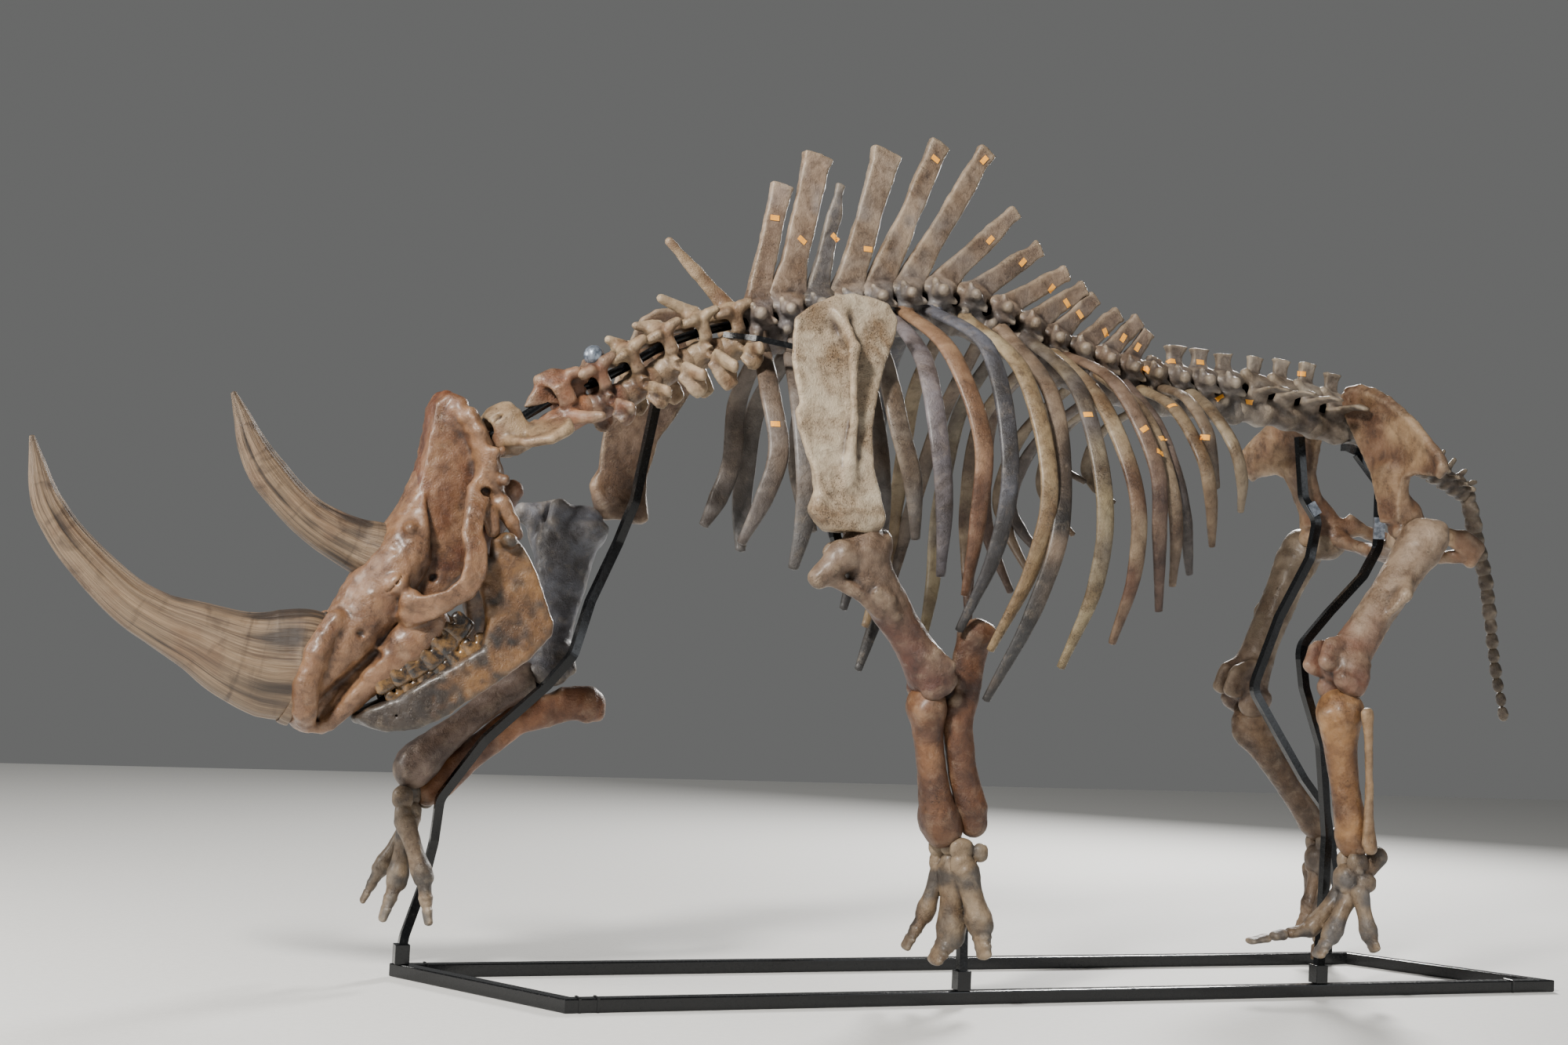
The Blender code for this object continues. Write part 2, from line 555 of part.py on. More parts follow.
def build_hindfoot(name, ankle, side, toes, look):
    """The ankle bones with the heel, three long bones and three toes."""
    tarsus = loft([ankle + Vector((0.0, 0, -0.016)), ankle + Vector((0.0, 0, -0.050)),
                   ankle + Vector((-0.006, 0, -0.090))],
                  [(0.044, 0.046), (0.050, 0.052), (0.036, 0.052)], sides=8)
    heel_bone = loft([ankle + Vector((0.010, side * 0.010, -0.050)),
                      ankle + Vector((0.042, side * 0.014, -0.035)),
                      ankle + Vector((0.066, side * 0.016, -0.010))],
                     [(0.034, 0.026), (0.030, 0.024), (0.028, 0.024)], sides=6)
    digits = []
    for out, knuckle, tip, thick in toes:
        start = ankle + Vector((-0.005, side * out * 0.7, -0.080))
        bend = ankle + Vector((knuckle[0], side * out * 1.1, knuckle[1]))
        end = ankle + Vector((tip[0], side * out * 1.35, tip[1]))
        digits.append(digit(start, bend, end, thick))
    return bone(name, [tarsus, heel_bone, *digits], look)


def build_femur(name, joints, side, look):
    limb = Limb(joints[0], joints[1], side)
    shaft = limb.part([(-0.01, -0.010, 0.098, 0.030, 0.038), (0.05, -0.008, 0.088, 0.044, 0.062),
                       (0.20, 0.0, 0.068, 0.042, 0.064),
                       (0.42, 0.004, 0.046, 0.038, 0.050), (0.62, 0.006, 0.026, 0.040, 0.044),
                       (0.80, 0.006, 0.010, 0.046, 0.054),
                       (0.92, 0.0, 0.0, 0.062, 0.066), (1.02, -0.004, 0.0, 0.050, 0.058)], sides=8)
    head = limb.part([(-0.035, 0, -0.045, 0.030, 0.034), (-0.01, 0, -0.020, 0.050, 0.052),
                      (0.02, 0, 0.010, 0.050, 0.050),
                      (0.09, 0, 0.060, 0.036, 0.050)], across=limb.front, sides=8)
    third_trochanter = limb.part([(0.44, -0.002, 0.050, 0.030, 0.038), (0.46, -0.010, 0.108, 0.018, 0.026)],
                                 across=limb.down.normalized(), sides=6)
    trochlea = limb.part([(0.80, 0.040, -0.004, 0.020, 0.026), (0.88, 0.066, -0.004, 0.026, 0.036),
                          (0.97, 0.056, -0.004, 0.024, 0.036)], sides=6)
    return bone(name, [shaft, head, third_trochanter, trochlea], look)


def build_tibia(name, joints, side, look):
    limb = Limb(joints[1], joints[2], side)
    shaft = limb.part([(0.155, -0.004, 0.0, 0.056, 0.062), (0.21, 0.0, 0.0, 0.050, 0.055),
                       (0.40, 0.010, 0.0, 0.038, 0.038),
                       (0.65, 0.004, 0.0, 0.034, 0.034), (0.86, 0.0, 0.0, 0.038, 0.042),
                       (0.97, 0.0, 0.0, 0.034, 0.044)])
    crest = limb.part([(0.17, 0.038, 0.012, 0.024, 0.022), (0.30, 0.036, 0.008, 0.016, 0.014)], sides=5)
    return bone(name, [shaft, crest], look)


def build_fibula(name, joints, side, look):
    limb = Limb(joints[1], joints[2], side)
    return bone(name, [limb.part([(0.17, -0.030, 0.082, 0.016, 0.012), (0.40, -0.026, 0.072, 0.010, 0.010),
                                  (0.75, -0.016, 0.058, 0.010, 0.010), (0.98, -0.006, 0.062, 0.017, 0.013)],
                                 sides=5)], look)


def build_pelvis():
    shapes = []
    for side in (LEFT, RIGHT):
        slope = Vector((0, side * 0.30, -0.15)).normalized()
        shapes.append(loft([(1.300, side * 0.205, 1.440), (1.305, side * 0.205, 1.405),
                            (1.326, side * 0.200, 1.335),
                            (1.345, side * 0.170, 1.265), (1.392, side * 0.160, 1.170)],
                           [(0.014, 0.165), (0.012, 0.175), (0.013, 0.150), (0.022, 0.052), (0.050, 0.052)],
                           across=slope, sides=8))
        shapes.append(loft([(1.395, side * 0.135, 1.170), (1.480, side * 0.125, 1.165),
                            (1.560, side * 0.130, 1.140),
                            (1.625, side * 0.135, 1.120)],
                           [(0.034, 0.024), (0.020, 0.024), (0.026, 0.020), (0.040, 0.018)], sides=6))
        shapes.append(loft([(1.395, side * 0.150, 1.155), (1.420, side * 0.085, 1.120),
                            (1.435, side * -0.01, 1.105)],
                           [(0.032, 0.030), (0.018, 0.024), (0.018, 0.030)], across=Vector((1, 0, 0)),
                           sides=6))
        shapes.append(loft([(1.435, side * 0.030, 1.100), (1.520, side * 0.045, 1.085),
                            (1.600, side * 0.110, 1.105)],
                           [(0.016, 0.034), (0.012, 0.026), (0.020, 0.024)], sides=6))
    return bone("pelvis", shapes, "pale_bone")


# Steel


def build_base():
    """A frame of square tube: two rails and two slanting end beams."""
    near = -BASE_WIDTH / 2
    far = BASE_WIDTH / 2
    left = BASE_REAR_X - BASE_LENGTH
    inset = BEAM * 1.1
    outer = [(left, near), (BASE_REAR_X, near), (BASE_REAR_X - BASE_SKEW, far), (left - BASE_SKEW, far)]
    inner = [(left + inset * 0.6, near + BEAM), (BASE_REAR_X - inset * 1.6, near + BEAM),
             (BASE_REAR_X - BASE_SKEW - inset * 0.6, far - BEAM),
             (left - BASE_SKEW + inset * 1.6, far - BEAM)]
    shape = bmesh.new()
    rings = [[shape.verts.new((x, y, z)) for x, y in outline]
             for outline, z in ((outer, 0), (outer, BEAM), (inner, BEAM), (inner, 0))]
    for ring, other in zip(rings, rings[1:] + rings[:1]):
        for k in range(4):
            j = (k + 1) % 4
            shape.faces.new((ring[k], ring[j], other[j], other[k]))
    bmesh.ops.recalc_face_normals(shape, faces=shape.faces)
    mesh = bpy.data.meshes.new("base_frame")
    shape.to_mesh(mesh)
    shape.free()
    return new_object("base_frame", mesh, "black_steel")


def iron(name, route):
    """A square bar that stands upright on the base and is bent along its route."""
    route = [route[0], (route[0][0], route[0][1], BEAM + 0.025), *route[1:]]
    sizes = [(IRON * 1.4, IRON * 1.4)] * len(route)
    return new_object(name, loft(route, sizes, across=SIDEWAYS, sides=4), "black_steel")


def build_irons():
    """The rod in the neck and back, and an iron up the inside of each leg."""
    canal = canal_path()
    lead = canal[0] + (canal[0] - canal[1]) * 0.45
    rod = new_object("spine_rod", loft([lead, *canal], [(ROD, ROD)] * (len(canal) + 1), sides=5),
                     "black_steel")
    foot = BEAM + 0.0003
    iron("left_fore_iron", [
        (0.150, -0.228, foot), (0.152, -0.216, 0.20), (0.150, -0.155, 0.29), (0.110, -0.150, 0.42),
        (0.075, -0.195, 0.60), (0.040, -0.180, 0.72), (-0.100, -0.215, 0.90), (-0.205, -0.215, 1.02),
        (-0.200, -0.205, 1.15)])
    iron("right_fore_iron", [
        (-1.017, 0.228, foot), (-1.012, 0.232, 0.09), (-0.970, 0.262, 0.20), (-0.952, 0.256, 0.30),
        (-0.952, 0.220, 0.40),
        (-0.870, 0.170, 0.535), (-0.735, 0.160, 0.665), (-0.680, 0.155, 0.735), (-0.640, 0.175, 0.86),
        (-0.575, 0.195, 1.00), (-0.545, 0.175, 1.10), (-0.510, 0.150, 1.36)])
    iron("left_hind_iron", [
        (1.122, -0.222, foot), (1.172, -0.165, 0.17), (1.180, -0.162, 0.38), (1.150, -0.168, 0.60),
        (1.092, -0.172, 0.74), (1.076, -0.172, 0.84), (1.190, -0.130, 0.93), (1.320, -0.092, 1.03),
        (1.380, -0.075, 1.11), (1.372, -0.085, 1.27), (1.310, -0.070, 1.345)])
    iron("right_hind_iron", [
        (1.480, 0.228, foot), (1.450, 0.135, 0.20), (1.405, 0.142, 0.42), (1.330, 0.140, 0.50),
        (1.170, 0.152, 0.73), (1.230, 0.130, 0.92), (1.300, 0.100, 1.08), (1.316, 0.095, 1.18),
        (1.280, 0.110, 1.24), (1.262, 0.110, 1.40)])
    return rod


def build_skeleton(spine_rod):
    skull = build_skull()
    mandible = build_mandible()
    nasal_horn, frontal_horn = build_horns()
    neck = build_neck()
    back = build_back()
    loins = build_loins()
    sacrum = build_sacrum()
    tail = build_tail()
    pelvis = build_pelvis()
    left_scapula = build_scapula("left_scapula", Vector((-0.205, -0.245, 1.545)),
                                 Vector((-0.205, -0.300, 1.045)), "pale_bone")
    right_scapula = build_scapula("right_scapula", Vector((-0.480, 0.225, 1.560)),
                                  Vector((-0.545, 0.285, 1.075)), "pale_bone")
    legs = {}
    for side, word, fore, hind, fore_toes, hind_toes, humerus_look, shin_look, broad, heel in (
            (LEFT, "left", LEFT_FORELEG, LEFT_HINDLEG, LEFT_FORE_TOES, LEFT_HIND_TOES,
             "brown_bone", "brown_bone", 1.0, -0.24),
            (RIGHT, "right", RIGHT_FORELEG, RIGHT_HINDLEG, RIGHT_FORE_TOES, RIGHT_HIND_TOES,
             "dark_bone", "grey_bone", 1.45, -0.09)):
        legs[word] = {
            "humerus": build_humerus(f"{word}_humerus", fore, side, broad, humerus_look),
            "radius": build_radius(f"{word}_radius", fore, side, shin_look),
            "ulna": build_ulna(f"{word}_ulna", fore, side, heel, shin_look),
            "forefoot": build_forefoot(f"{word}_forefoot", fore[2], side, fore_toes, "grey_bone"),
            "femur": build_femur(f"{word}_femur", hind, side, "pale_bone"),
            "tibia": build_tibia(f"{word}_tibia", hind, side, "pale_bone"),
            "fibula": build_fibula(f"{word}_fibula", hind, side, "pale_bone"),
            "hindfoot": build_hindfoot(f"{word}_hindfoot", hind[2], side, hind_toes, "grey_bone"),
        }
    make_room(nasal_horn, skull)
    make_room(frontal_horn, skull)
    make_room(mandible, skull)
    make_room(neck[0], skull)
    make_room(skull, spine_rod)
    for vertebra_of_neck in neck:
        make_room(vertebra_of_neck, spine_rod)
    column = [*neck, *back, loins, sacrum]
    for first, second in zip(column, column[1:]):
        make_room(second, first)
    make_room(pelvis, sacrum, loins)
    make_room(tail, sacrum, pelvis)
    for word, scapula in (("left", left_scapula), ("right", right_scapula)):
        leg = legs[word]
        make_room(scapula, leg["humerus"])
        make_room(leg["ulna"], leg["humerus"])
        make_room(leg["radius"], leg["humerus"], leg["ulna"])
        make_room(leg["forefoot"], leg["radius"], leg["ulna"])
        make_room(pelvis, leg["femur"])
        make_room(leg["tibia"], leg["femur"])
        make_room(leg["fibula"], leg["tibia"], leg["femur"])
        make_room(leg["hindfoot"], leg["tibia"], leg["fibula"])


clear_scene()
build_base()
build_skeleton(build_irons())
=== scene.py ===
# %% [markdown]
# # A mounted woolly rhinoceros
#
# This lesson builds the skeleton in four stages. First come the camera, the
# lights and the floor. Then a small sculpting kit: soft solids are laid into a
# grid of distances, carved, and skinned with a mesh. Every bone is sculpted with
# it, head first and feet last. The steel that carries the bones and the rows of
# small things (teeth, tail) are made with Geometry Nodes, and the number stickers
# are pressed onto the bones.
#
# Metres, +Z up. The head is towards -X and the animal's left side towards -Y.

# %% The frame
from math import cos, pi, radians, sin

import bmesh
import bpy
import numpy as np
from mathutils import Matrix, Vector


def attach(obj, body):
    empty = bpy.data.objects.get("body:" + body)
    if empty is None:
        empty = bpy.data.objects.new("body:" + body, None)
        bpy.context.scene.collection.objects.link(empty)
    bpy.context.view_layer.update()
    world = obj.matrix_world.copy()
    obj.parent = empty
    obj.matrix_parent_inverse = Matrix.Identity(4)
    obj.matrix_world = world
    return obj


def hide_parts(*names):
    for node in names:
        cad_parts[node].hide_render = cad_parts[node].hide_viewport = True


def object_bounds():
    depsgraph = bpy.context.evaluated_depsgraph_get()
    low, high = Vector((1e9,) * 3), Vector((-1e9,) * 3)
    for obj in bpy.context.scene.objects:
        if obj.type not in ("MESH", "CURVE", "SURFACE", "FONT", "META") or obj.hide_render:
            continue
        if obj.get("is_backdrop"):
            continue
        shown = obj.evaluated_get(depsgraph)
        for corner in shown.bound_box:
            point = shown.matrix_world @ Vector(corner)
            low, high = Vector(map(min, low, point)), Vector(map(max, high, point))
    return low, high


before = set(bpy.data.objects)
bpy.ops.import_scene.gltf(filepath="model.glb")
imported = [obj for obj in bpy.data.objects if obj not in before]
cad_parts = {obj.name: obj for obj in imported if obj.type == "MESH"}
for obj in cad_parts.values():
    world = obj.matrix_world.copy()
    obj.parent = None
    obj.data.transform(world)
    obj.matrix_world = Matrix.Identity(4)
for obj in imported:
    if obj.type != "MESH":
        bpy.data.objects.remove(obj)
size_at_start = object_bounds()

CELL = .0046  # side of a sculpting cell
DEPTH, SATURATION = .76, 1.08  # how the bones are painted, against how they look
NEAR = -1  # the animal's left side, on -Y
FAR = 1

# %% [markdown]
# ## Camera, lights and floor
#
# The camera stands low in front of the animal's left shoulder. Its direction is
# given by a yaw, a pitch and a small roll, and its matrix is built from them.

# %% Camera
YAW, PITCH, ROLL = radians(22.0), radians(3.8), radians(2.8)
forward = Vector((sin(YAW) * cos(PITCH), cos(YAW) * cos(PITCH), sin(PITCH)))
level = Vector((cos(YAW), -sin(YAW), 0))
above = level.cross(forward)
camera_x = level * cos(ROLL) + above * sin(ROLL)
camera_y = above * cos(ROLL) - level * sin(ROLL)
camera = bpy.data.objects.new("camera", bpy.data.cameras.new("camera"))
camera.data.lens = 46.08
camera.data.sensor_width = 36
camera.matrix_world = Matrix((
    (camera_x.x, camera_y.x, -forward.x, -1.968),
    (camera_x.y, camera_y.y, -forward.y, -4.278),
    (camera_x.z, camera_y.z, -forward.z, .756),
    (0, 0, 0, 1)))
bpy.context.scene.collection.objects.link(camera)
bpy.context.scene.camera = camera


# %% Lights
def lamp(name, place, target, size, power, colour):
    light = bpy.data.lights.new(name, "AREA")
    light.shape = "DISK"
    light.size = size
    light.energy = power
    light.color = colour
    thing = bpy.data.objects.new(name, light)
    thing.location = place
    thing.rotation_euler = (Vector(target) - Vector(place)).to_track_quat("-Z", "Y").to_euler()
    bpy.context.scene.collection.objects.link(thing)


lamp("key", (-4.2, -3.2, 4.4), (0, 0, .9), .9, 720, (1.0, .97, .92))
lamp("fill", (3.2, -4.6, 1.6), (.6, 0, .8), 2.6, 45, (.9, .95, 1.0))
lamp("rim", (3.4, 3.4, 3.0), (.6, 0, .9), 1.2, 420, (1.0, .98, .95))
lamp("front", (-4.4, .8, 2.0), (-1.2, 0, .9), 1.4, 120, (1.0, .97, .92))

world = bpy.data.worlds.new("studio")
world.use_nodes = True
world.node_tree.nodes["Background"].inputs["Color"].default_value = (.84, .85, .84, 1)
world.node_tree.nodes["Background"].inputs["Strength"].default_value = .17
bpy.context.scene.world = world

# %% [markdown]
# ## Materials
#
# Each material is a node tree. `Tree` keeps the writing of one short: `node`
# makes a node and fills its sockets, `noise` and `mix` are the two used most.
# The bones share one look. Their own colours come from the attribute `tint`,
# and `hollow` says how deep a point lies in a hollow, so dirt and painted shade
# can gather there and edges can be worn pale.


# %% Node helpers
def srgb(red, green, blue):
    """A colour given as it looks on screen, 0 to 255, as linear light."""
    parts = [part / 255 for part in (red, green, blue)]
    return tuple(p / 12.92 if p <= .04045 else ((p + .055) / 1.055) ** 2.4 for p in parts)


class Tree:
    def __init__(self, name):
        self.material = bpy.data.materials.new(name)
        self.material.use_nodes = True
        self.nodes = self.material.node_tree.nodes
        self.links = self.material.node_tree.links
        self.shader = self.nodes["Principled BSDF"]
        self.place = self.node("ShaderNodeTexCoord").outputs["Object"]

    def node(self, kind, **sockets):
        made = self.nodes.new(kind)
        for key, value in sockets.items():
            if key.startswith("set_"):
                setattr(made, key[4:], value)
            else:
                self.fill(made.inputs[key.replace("_", " ")], value)
        return made

    def fill(self, socket, value):
        if isinstance(value, bpy.types.NodeSocket):
            self.links.new(value, socket)
        else:
            socket.default_value = (*value, 1) if socket.type == "RGBA" and len(value) == 3 else value

    def attribute(self, name, output="Fac"):
        return self.node("ShaderNodeAttribute", set_attribute_name=name).outputs[output]

    def noise(self, scale, detail=4.0, rough=.55, twist=0.0, at=None):
        return self.node("ShaderNodeTexNoise", Vector=at or self.place, Scale=scale, Detail=detail,
                         Roughness=rough, Distortion=twist).outputs["Fac"]

    def ramp(self, value, low, high, start=0.0, end=1.0):
        """The value stretched so that low gives start and high gives end."""
        made = self.node("ShaderNodeMapRange", Value=value)
        for name, number in (("From Min", low), ("From Max", high), ("To Min", start), ("To Max", end)):
            made.inputs[name].default_value = number
        return made.outputs["Result"]

    def maths(self, operation, first, second=0.0):
        made = self.node("ShaderNodeMath", set_operation=operation)
        self.fill(made.inputs[0], first)
        self.fill(made.inputs[1], second)
        return made.outputs["Value"]

    def mix(self, share, first, second, blend="MIX"):
        made = self.node("ShaderNodeMix", set_data_type="RGBA", set_blend_type=blend)
        self.fill(made.inputs[0], share)
        self.fill(made.inputs[6], first)
        self.fill(made.inputs[7], second)
        return made.outputs[2]

    def bump(self, height, depth, strength=1.0, normal=None):
        made = self.node("ShaderNodeBump", Height=height, Distance=depth, Strength=strength)
        if normal:
            self.links.new(normal, made.inputs["Normal"])
        return made.outputs["Normal"]

    def finish(self, colour, rough, normal=None, **more):
        for name, value in (("Base Color", colour), ("Roughness", rough)):
            self.fill(self.shader.inputs[name], value)
        if normal:
            self.links.new(normal, self.shader.inputs["Normal"])
        for name, value in more.items():
            self.fill(self.shader.inputs[name.replace("_", " ")], value)
        return self.material


# %% Bone
def bone_material(name, grain=1.0, pits=.5, shine=0.0, worn=.42):
    """Bone: blotches, dirt and painted shade in the hollows, worn ridges, pores, grain and hairline cracks."""
    t = Tree(name)
    tint = t.attribute("tint", "Color")
    hollow = t.attribute("hollow")
    blotch = t.noise(9.0, 5.0, .6, .6)
    mottle = t.noise(38.0, 6.0, .65, .3)
    fine = t.noise(260.0, 4.0, .6)
    colour = t.mix(t.ramp(blotch, .35, .68), tint, t.mix(1.0, tint, srgb(172, 152, 130), "MULTIPLY"))
    colour = t.mix(t.ramp(mottle, .5, .74, 0.0, .65), colour, t.mix(1.0, colour, srgb(140, 122, 106),
            "MULTIPLY"))
    colour = t.mix(t.ramp(mottle, .46, .28, 0.0, .3), colour, t.mix(.4, colour, srgb(196, 176, 150)))
    ridge = t.ramp(t.maths("ADD", hollow, t.maths("MULTIPLY", t.maths("SUBTRACT", mottle, .5), .5)), -.25,
            -1.1)
    colour = t.mix(t.maths("MULTIPLY", ridge, worn), colour, t.mix(.5, colour, srgb(206, 186, 156)))
    # dirt and painted shade: the deeper a point lies in a hollow, the darker brown it is painted
    dirt_and_shade = t.ramp(t.maths("ADD", hollow, t.maths("MULTIPLY", t.maths("SUBTRACT", mottle, .5), .6)), .05, .75)
    colour = t.mix(t.maths("MULTIPLY", dirt_and_shade, .92), colour, t.mix(1.0, colour, srgb(84, 58, 42), "MULTIPLY"))
    pores = t.node("ShaderNodeTexVoronoi", Vector=t.place, Scale=210.0, Randomness=1.0).outputs["Distance"]
    pore = t.maths("MULTIPLY", t.ramp(pores, .32, .12), t.ramp(blotch, .42, .62))
    colour = t.mix(t.maths("MULTIPLY", pore, .55 * pits), colour, t.mix(1.0, colour, srgb(110, 80, 60),
            "MULTIPLY"))
    bend = t.node("ShaderNodeVectorMath", set_operation="ADD")
    t.links.new(t.place, bend.inputs[0])
    t.links.new(t.node("ShaderNodeTexNoise", Vector=t.place, Scale=30.0, Detail=3.0).outputs["Color"],
            bend.inputs[1])
    cracks = t.node("ShaderNodeTexVoronoi", Vector=bend.outputs[0], Scale=6.0, set_feature="DISTANCE_TO_EDGE")
    crack = t.maths("MULTIPLY", t.ramp(cracks.outputs["Distance"], .012, .003), t.ramp(blotch, .5, .58))
    colour = t.mix(t.maths("MULTIPLY", crack, .75), colour, srgb(48, 34, 26))
    rough = t.ramp(t.maths("ADD", mottle, t.maths("MULTIPLY", dirt_and_shade, .3)), .3, .9, .44 - shine, .78)
    normal = t.bump(mottle, .0046 * grain, .9)
    normal = t.bump(fine, .0016 * grain, .9, normal)
    normal = t.bump(t.maths("MULTIPLY", pore, -1.0), .0012 * pits, .9, normal)
    normal = t.bump(t.maths("MULTIPLY", crack, -1.0), .002, 1.0, normal)
    return t.finish(colour, rough, normal, Coat_Weight=.18 + shine, Coat_Roughness=.3)


BONE = bone_material("bone")
ROUGH_BONE = bone_material("pitted_bone", grain=1.5, pits=1.3, worn=.15)
SKULL_BONE = bone_material("skull_bone_detail", grain=.9, pits=.35, shine=.12, worn=.1)


# %% Horn
def horn_material():
    """Horn: long fibres that split the surface, with darker growth bands across and painted shade in the grooves
    between them.
    """
    t = Tree("fibrous_horn")
    along = t.attribute("grain", "Vector")
    fibre_place = t.node("ShaderNodeMapping", Vector=along, Scale=(7.5, 7.5, 2.4)).outputs["Vector"]
    fine_place = t.node("ShaderNodeMapping", Vector=along, Scale=(24.0, 24.0, 7.0)).outputs["Vector"]
    band_place = t.node("ShaderNodeMapping", Vector=along, Scale=(.5, .5, 22.0)).outputs["Vector"]
    fibre = t.noise(1.0, 5.0, .6, .25, fibre_place)
    fine = t.noise(1.0, 4.0, .6, 0.0, fine_place)
    band = t.noise(1.0, 3.0, .55, .5, band_place)
    blotch = t.noise(7.0, 4.0, .6)
    hollow = t.attribute("hollow")
    colour = t.mix(t.ramp(fibre, .32, .68), srgb(78, 62, 50), srgb(142, 120, 96))
    colour = t.mix(t.ramp(fine, .45, .7, 0.0, .6), colour, srgb(178, 156, 130))
    colour = t.mix(t.ramp(band, .54, .68, 0.0, .62), colour, srgb(54, 38, 28))
    colour = t.mix(t.ramp(blotch, .5, .7, 0.0, .5), colour, t.mix(1.0, colour, srgb(190, 140, 98),
            "MULTIPLY"))
    # painted shade: the grooves between the fibres are darkened almost to black
    colour = t.mix(t.ramp(hollow, .05, .6, 0.0, .85), colour, srgb(34, 25, 20))
    colour = t.mix(1.0, colour, t.attribute("tint", "Color"), "MULTIPLY")
    normal = t.bump(fibre, .004, .9)
    normal = t.bump(fine, .0016, .9, normal)
    normal = t.bump(band, .0015, .5, normal)
    return t.finish(colour, t.ramp(fine, .3, .7, .42, .66), normal, Coat_Weight=.12, Coat_Roughness=.35)


HORN = horn_material()


# %% Teeth, steel, stickers
def tooth_material():
    t = Tree("old_enamel")
    patch = t.noise(30.0, 5.0, .6, .5)
    fine = t.noise(190.0, 4.0, .6)
    colour = t.mix(t.ramp(patch, .4, .62), srgb(34, 29, 26), srgb(122, 92, 56))
    colour = t.mix(t.ramp(fine, .5, .75, 0.0, .6), colour, srgb(28, 24, 22))
    return t.finish(colour, t.ramp(fine, .3, .7, .18, .42), t.bump(fine, .001), Coat_Weight=.35)


def steel_material():
    """Gloss black paint over steel, a little wavy, with dust."""
    t = Tree("black_painted_steel")
    wave = t.noise(26.0, 3.0, .5)
    dust = t.noise(150.0, 5.0, .7)
    colour = t.mix(t.ramp(dust, .6, .85, 0.0, .3), srgb(7, 8, 10), srgb(40, 43, 50))
    rough = t.ramp(dust, .4, .75, .16, .36)
    normal = t.bump(dust, .0003, .6, t.bump(wave, .0012, .5))
    return t.finish(colour, rough, normal, Specular_IOR_Level=.35, Coat_Weight=.15, Coat_Roughness=.1)


def grey_steel_material():
    t = Tree("brushed_sleeve")
    wear = t.noise(90.0, 5.0, .7)
    colour = t.mix(t.ramp(wear, .4, .65), srgb(92, 100, 112), srgb(150, 158, 170))
    return t.finish(colour, t.ramp(wear, .3, .7, .28, .5), t.bump(wear, .0004), Metallic=.6)


def sticker_material():
    t = Tree("orange_sticker")
    wear = t.noise(420.0, 4.0, .6)
    colour = t.mix(t.ramp(wear, .45, .8), srgb(255, 178, 62), srgb(236, 138, 36))
    return t.finish(colour, .5, t.bump(wear, .0002))


def floor_material():
    t = Tree("studio_floor")
    speck = t.noise(60.0, 4.0, .6)
    return t.finish(t.mix(t.ramp(speck, .3, .7), srgb(205, 205, 203), srgb(211, 211, 209)), .7)


TEETH = tooth_material()
STEEL = steel_material()
SLEEVE = grey_steel_material()
STICKER = sticker_material()

# %% [markdown]
# ## The sculpting kit
#
# A `Clay` is a list of soft strokes. `add` lays a stroke: a path with, at each
# point, half the width along `side` and half the width across it. `carve` takes
# one away. `plate` adds a flat bone from its outline. `fired` gives the mesh:
# it measures the distance to the nearest stroke on a grid and joins the cells
# where that distance passes zero.
#
# A mirrored clay is shaped on the near side only, with y below zero, and is
# the same on both sides of the animal's middle plane.


# %% Vectors and noise
def unit(vector):
    vector = np.asarray(vector, float)
    return vector / np.linalg.norm(vector)


def soft_min(a, b, width):
    h = np.clip(width - np.abs(a - b), 0, None) / width
    return np.minimum(a, b) - h * h * width * .25


def lumps(points, size, seed):
    """Smooth noise from -1 to 1, with lumps of about the size given."""
    table = np.random.default_rng(seed).uniform(-1, 1, 4096)
    scaled = points / size
    base = np.floor(scaled).astype(np.int64)
    part = scaled - base
    part = part * part * (3 - 2 * part)
    total = np.zeros(len(points))
    for corner in np.ndindex(2, 2, 2):
        spot = base + corner
        index = (spot[:, 0] * 73856093 ^ spot[:, 1] * 19349663 ^ spot[:, 2] * 83492791) & 4095
        weight = np.prod(np.where(corner, part, 1 - part), axis=1)
        total += weight * table[index]
    return total


def smooth_path(points, count):
    """Points spaced evenly along a smooth curve through the given ones."""
    points = np.asarray(points, float)
    padded = np.vstack([2 * points[0] - points[1], points, 2 * points[-1] - points[-2]])
    out = []
    for place in np.linspace(0, len(points) - 1, count):
        i = min(int(place), len(points) - 2)
        u = place - i
        a, b, c, d = padded[i:i + 4]
        out.append(.5 * (2 * b + (c - a) * u + (2 * a - 5 * b + 4 * c - d) * u * u + (3 * b - a - 3 * c + d) * u ** 3))
    return np.array(out)


# %% Mesh building
def mesh_object(name, verts, faces, material=BONE, smooth=True):
    mesh = bpy.data.meshes.new(name)
    sides = faces.shape[1]
    mesh.vertices.add(len(verts))
    mesh.vertices.foreach_set("co", np.asarray(verts, np.float32).ravel())
    mesh.loops.add(faces.size)
    mesh.loops.foreach_set("vertex_index", np.asarray(faces, np.int32).ravel())
    mesh.polygons.add(len(faces))
    mesh.polygons.foreach_set("loop_start", np.arange(0, faces.size, sides, dtype=np.int32))
    mesh.polygons.foreach_set("use_smooth", np.full(len(faces), smooth))
    mesh.update(calc_edges=True)
    mesh.validate()
    thing = bpy.data.objects.new(name, mesh)
    mesh.materials.append(material)
    bpy.context.scene.collection.objects.link(thing)
    return thing


def vertex_normals(verts, faces):
    a, b, c, d = (verts[faces[:, k]] for k in range(4))
    flat = np.cross(c - a, d - b)
    total = np.stack([np.bincount(faces.ravel(), np.repeat(flat[:, k], 4), len(verts)) for k in range(3)], 1)
    return total / np.maximum(np.linalg.norm(total, axis=1, keepdims=True), 1e-12)


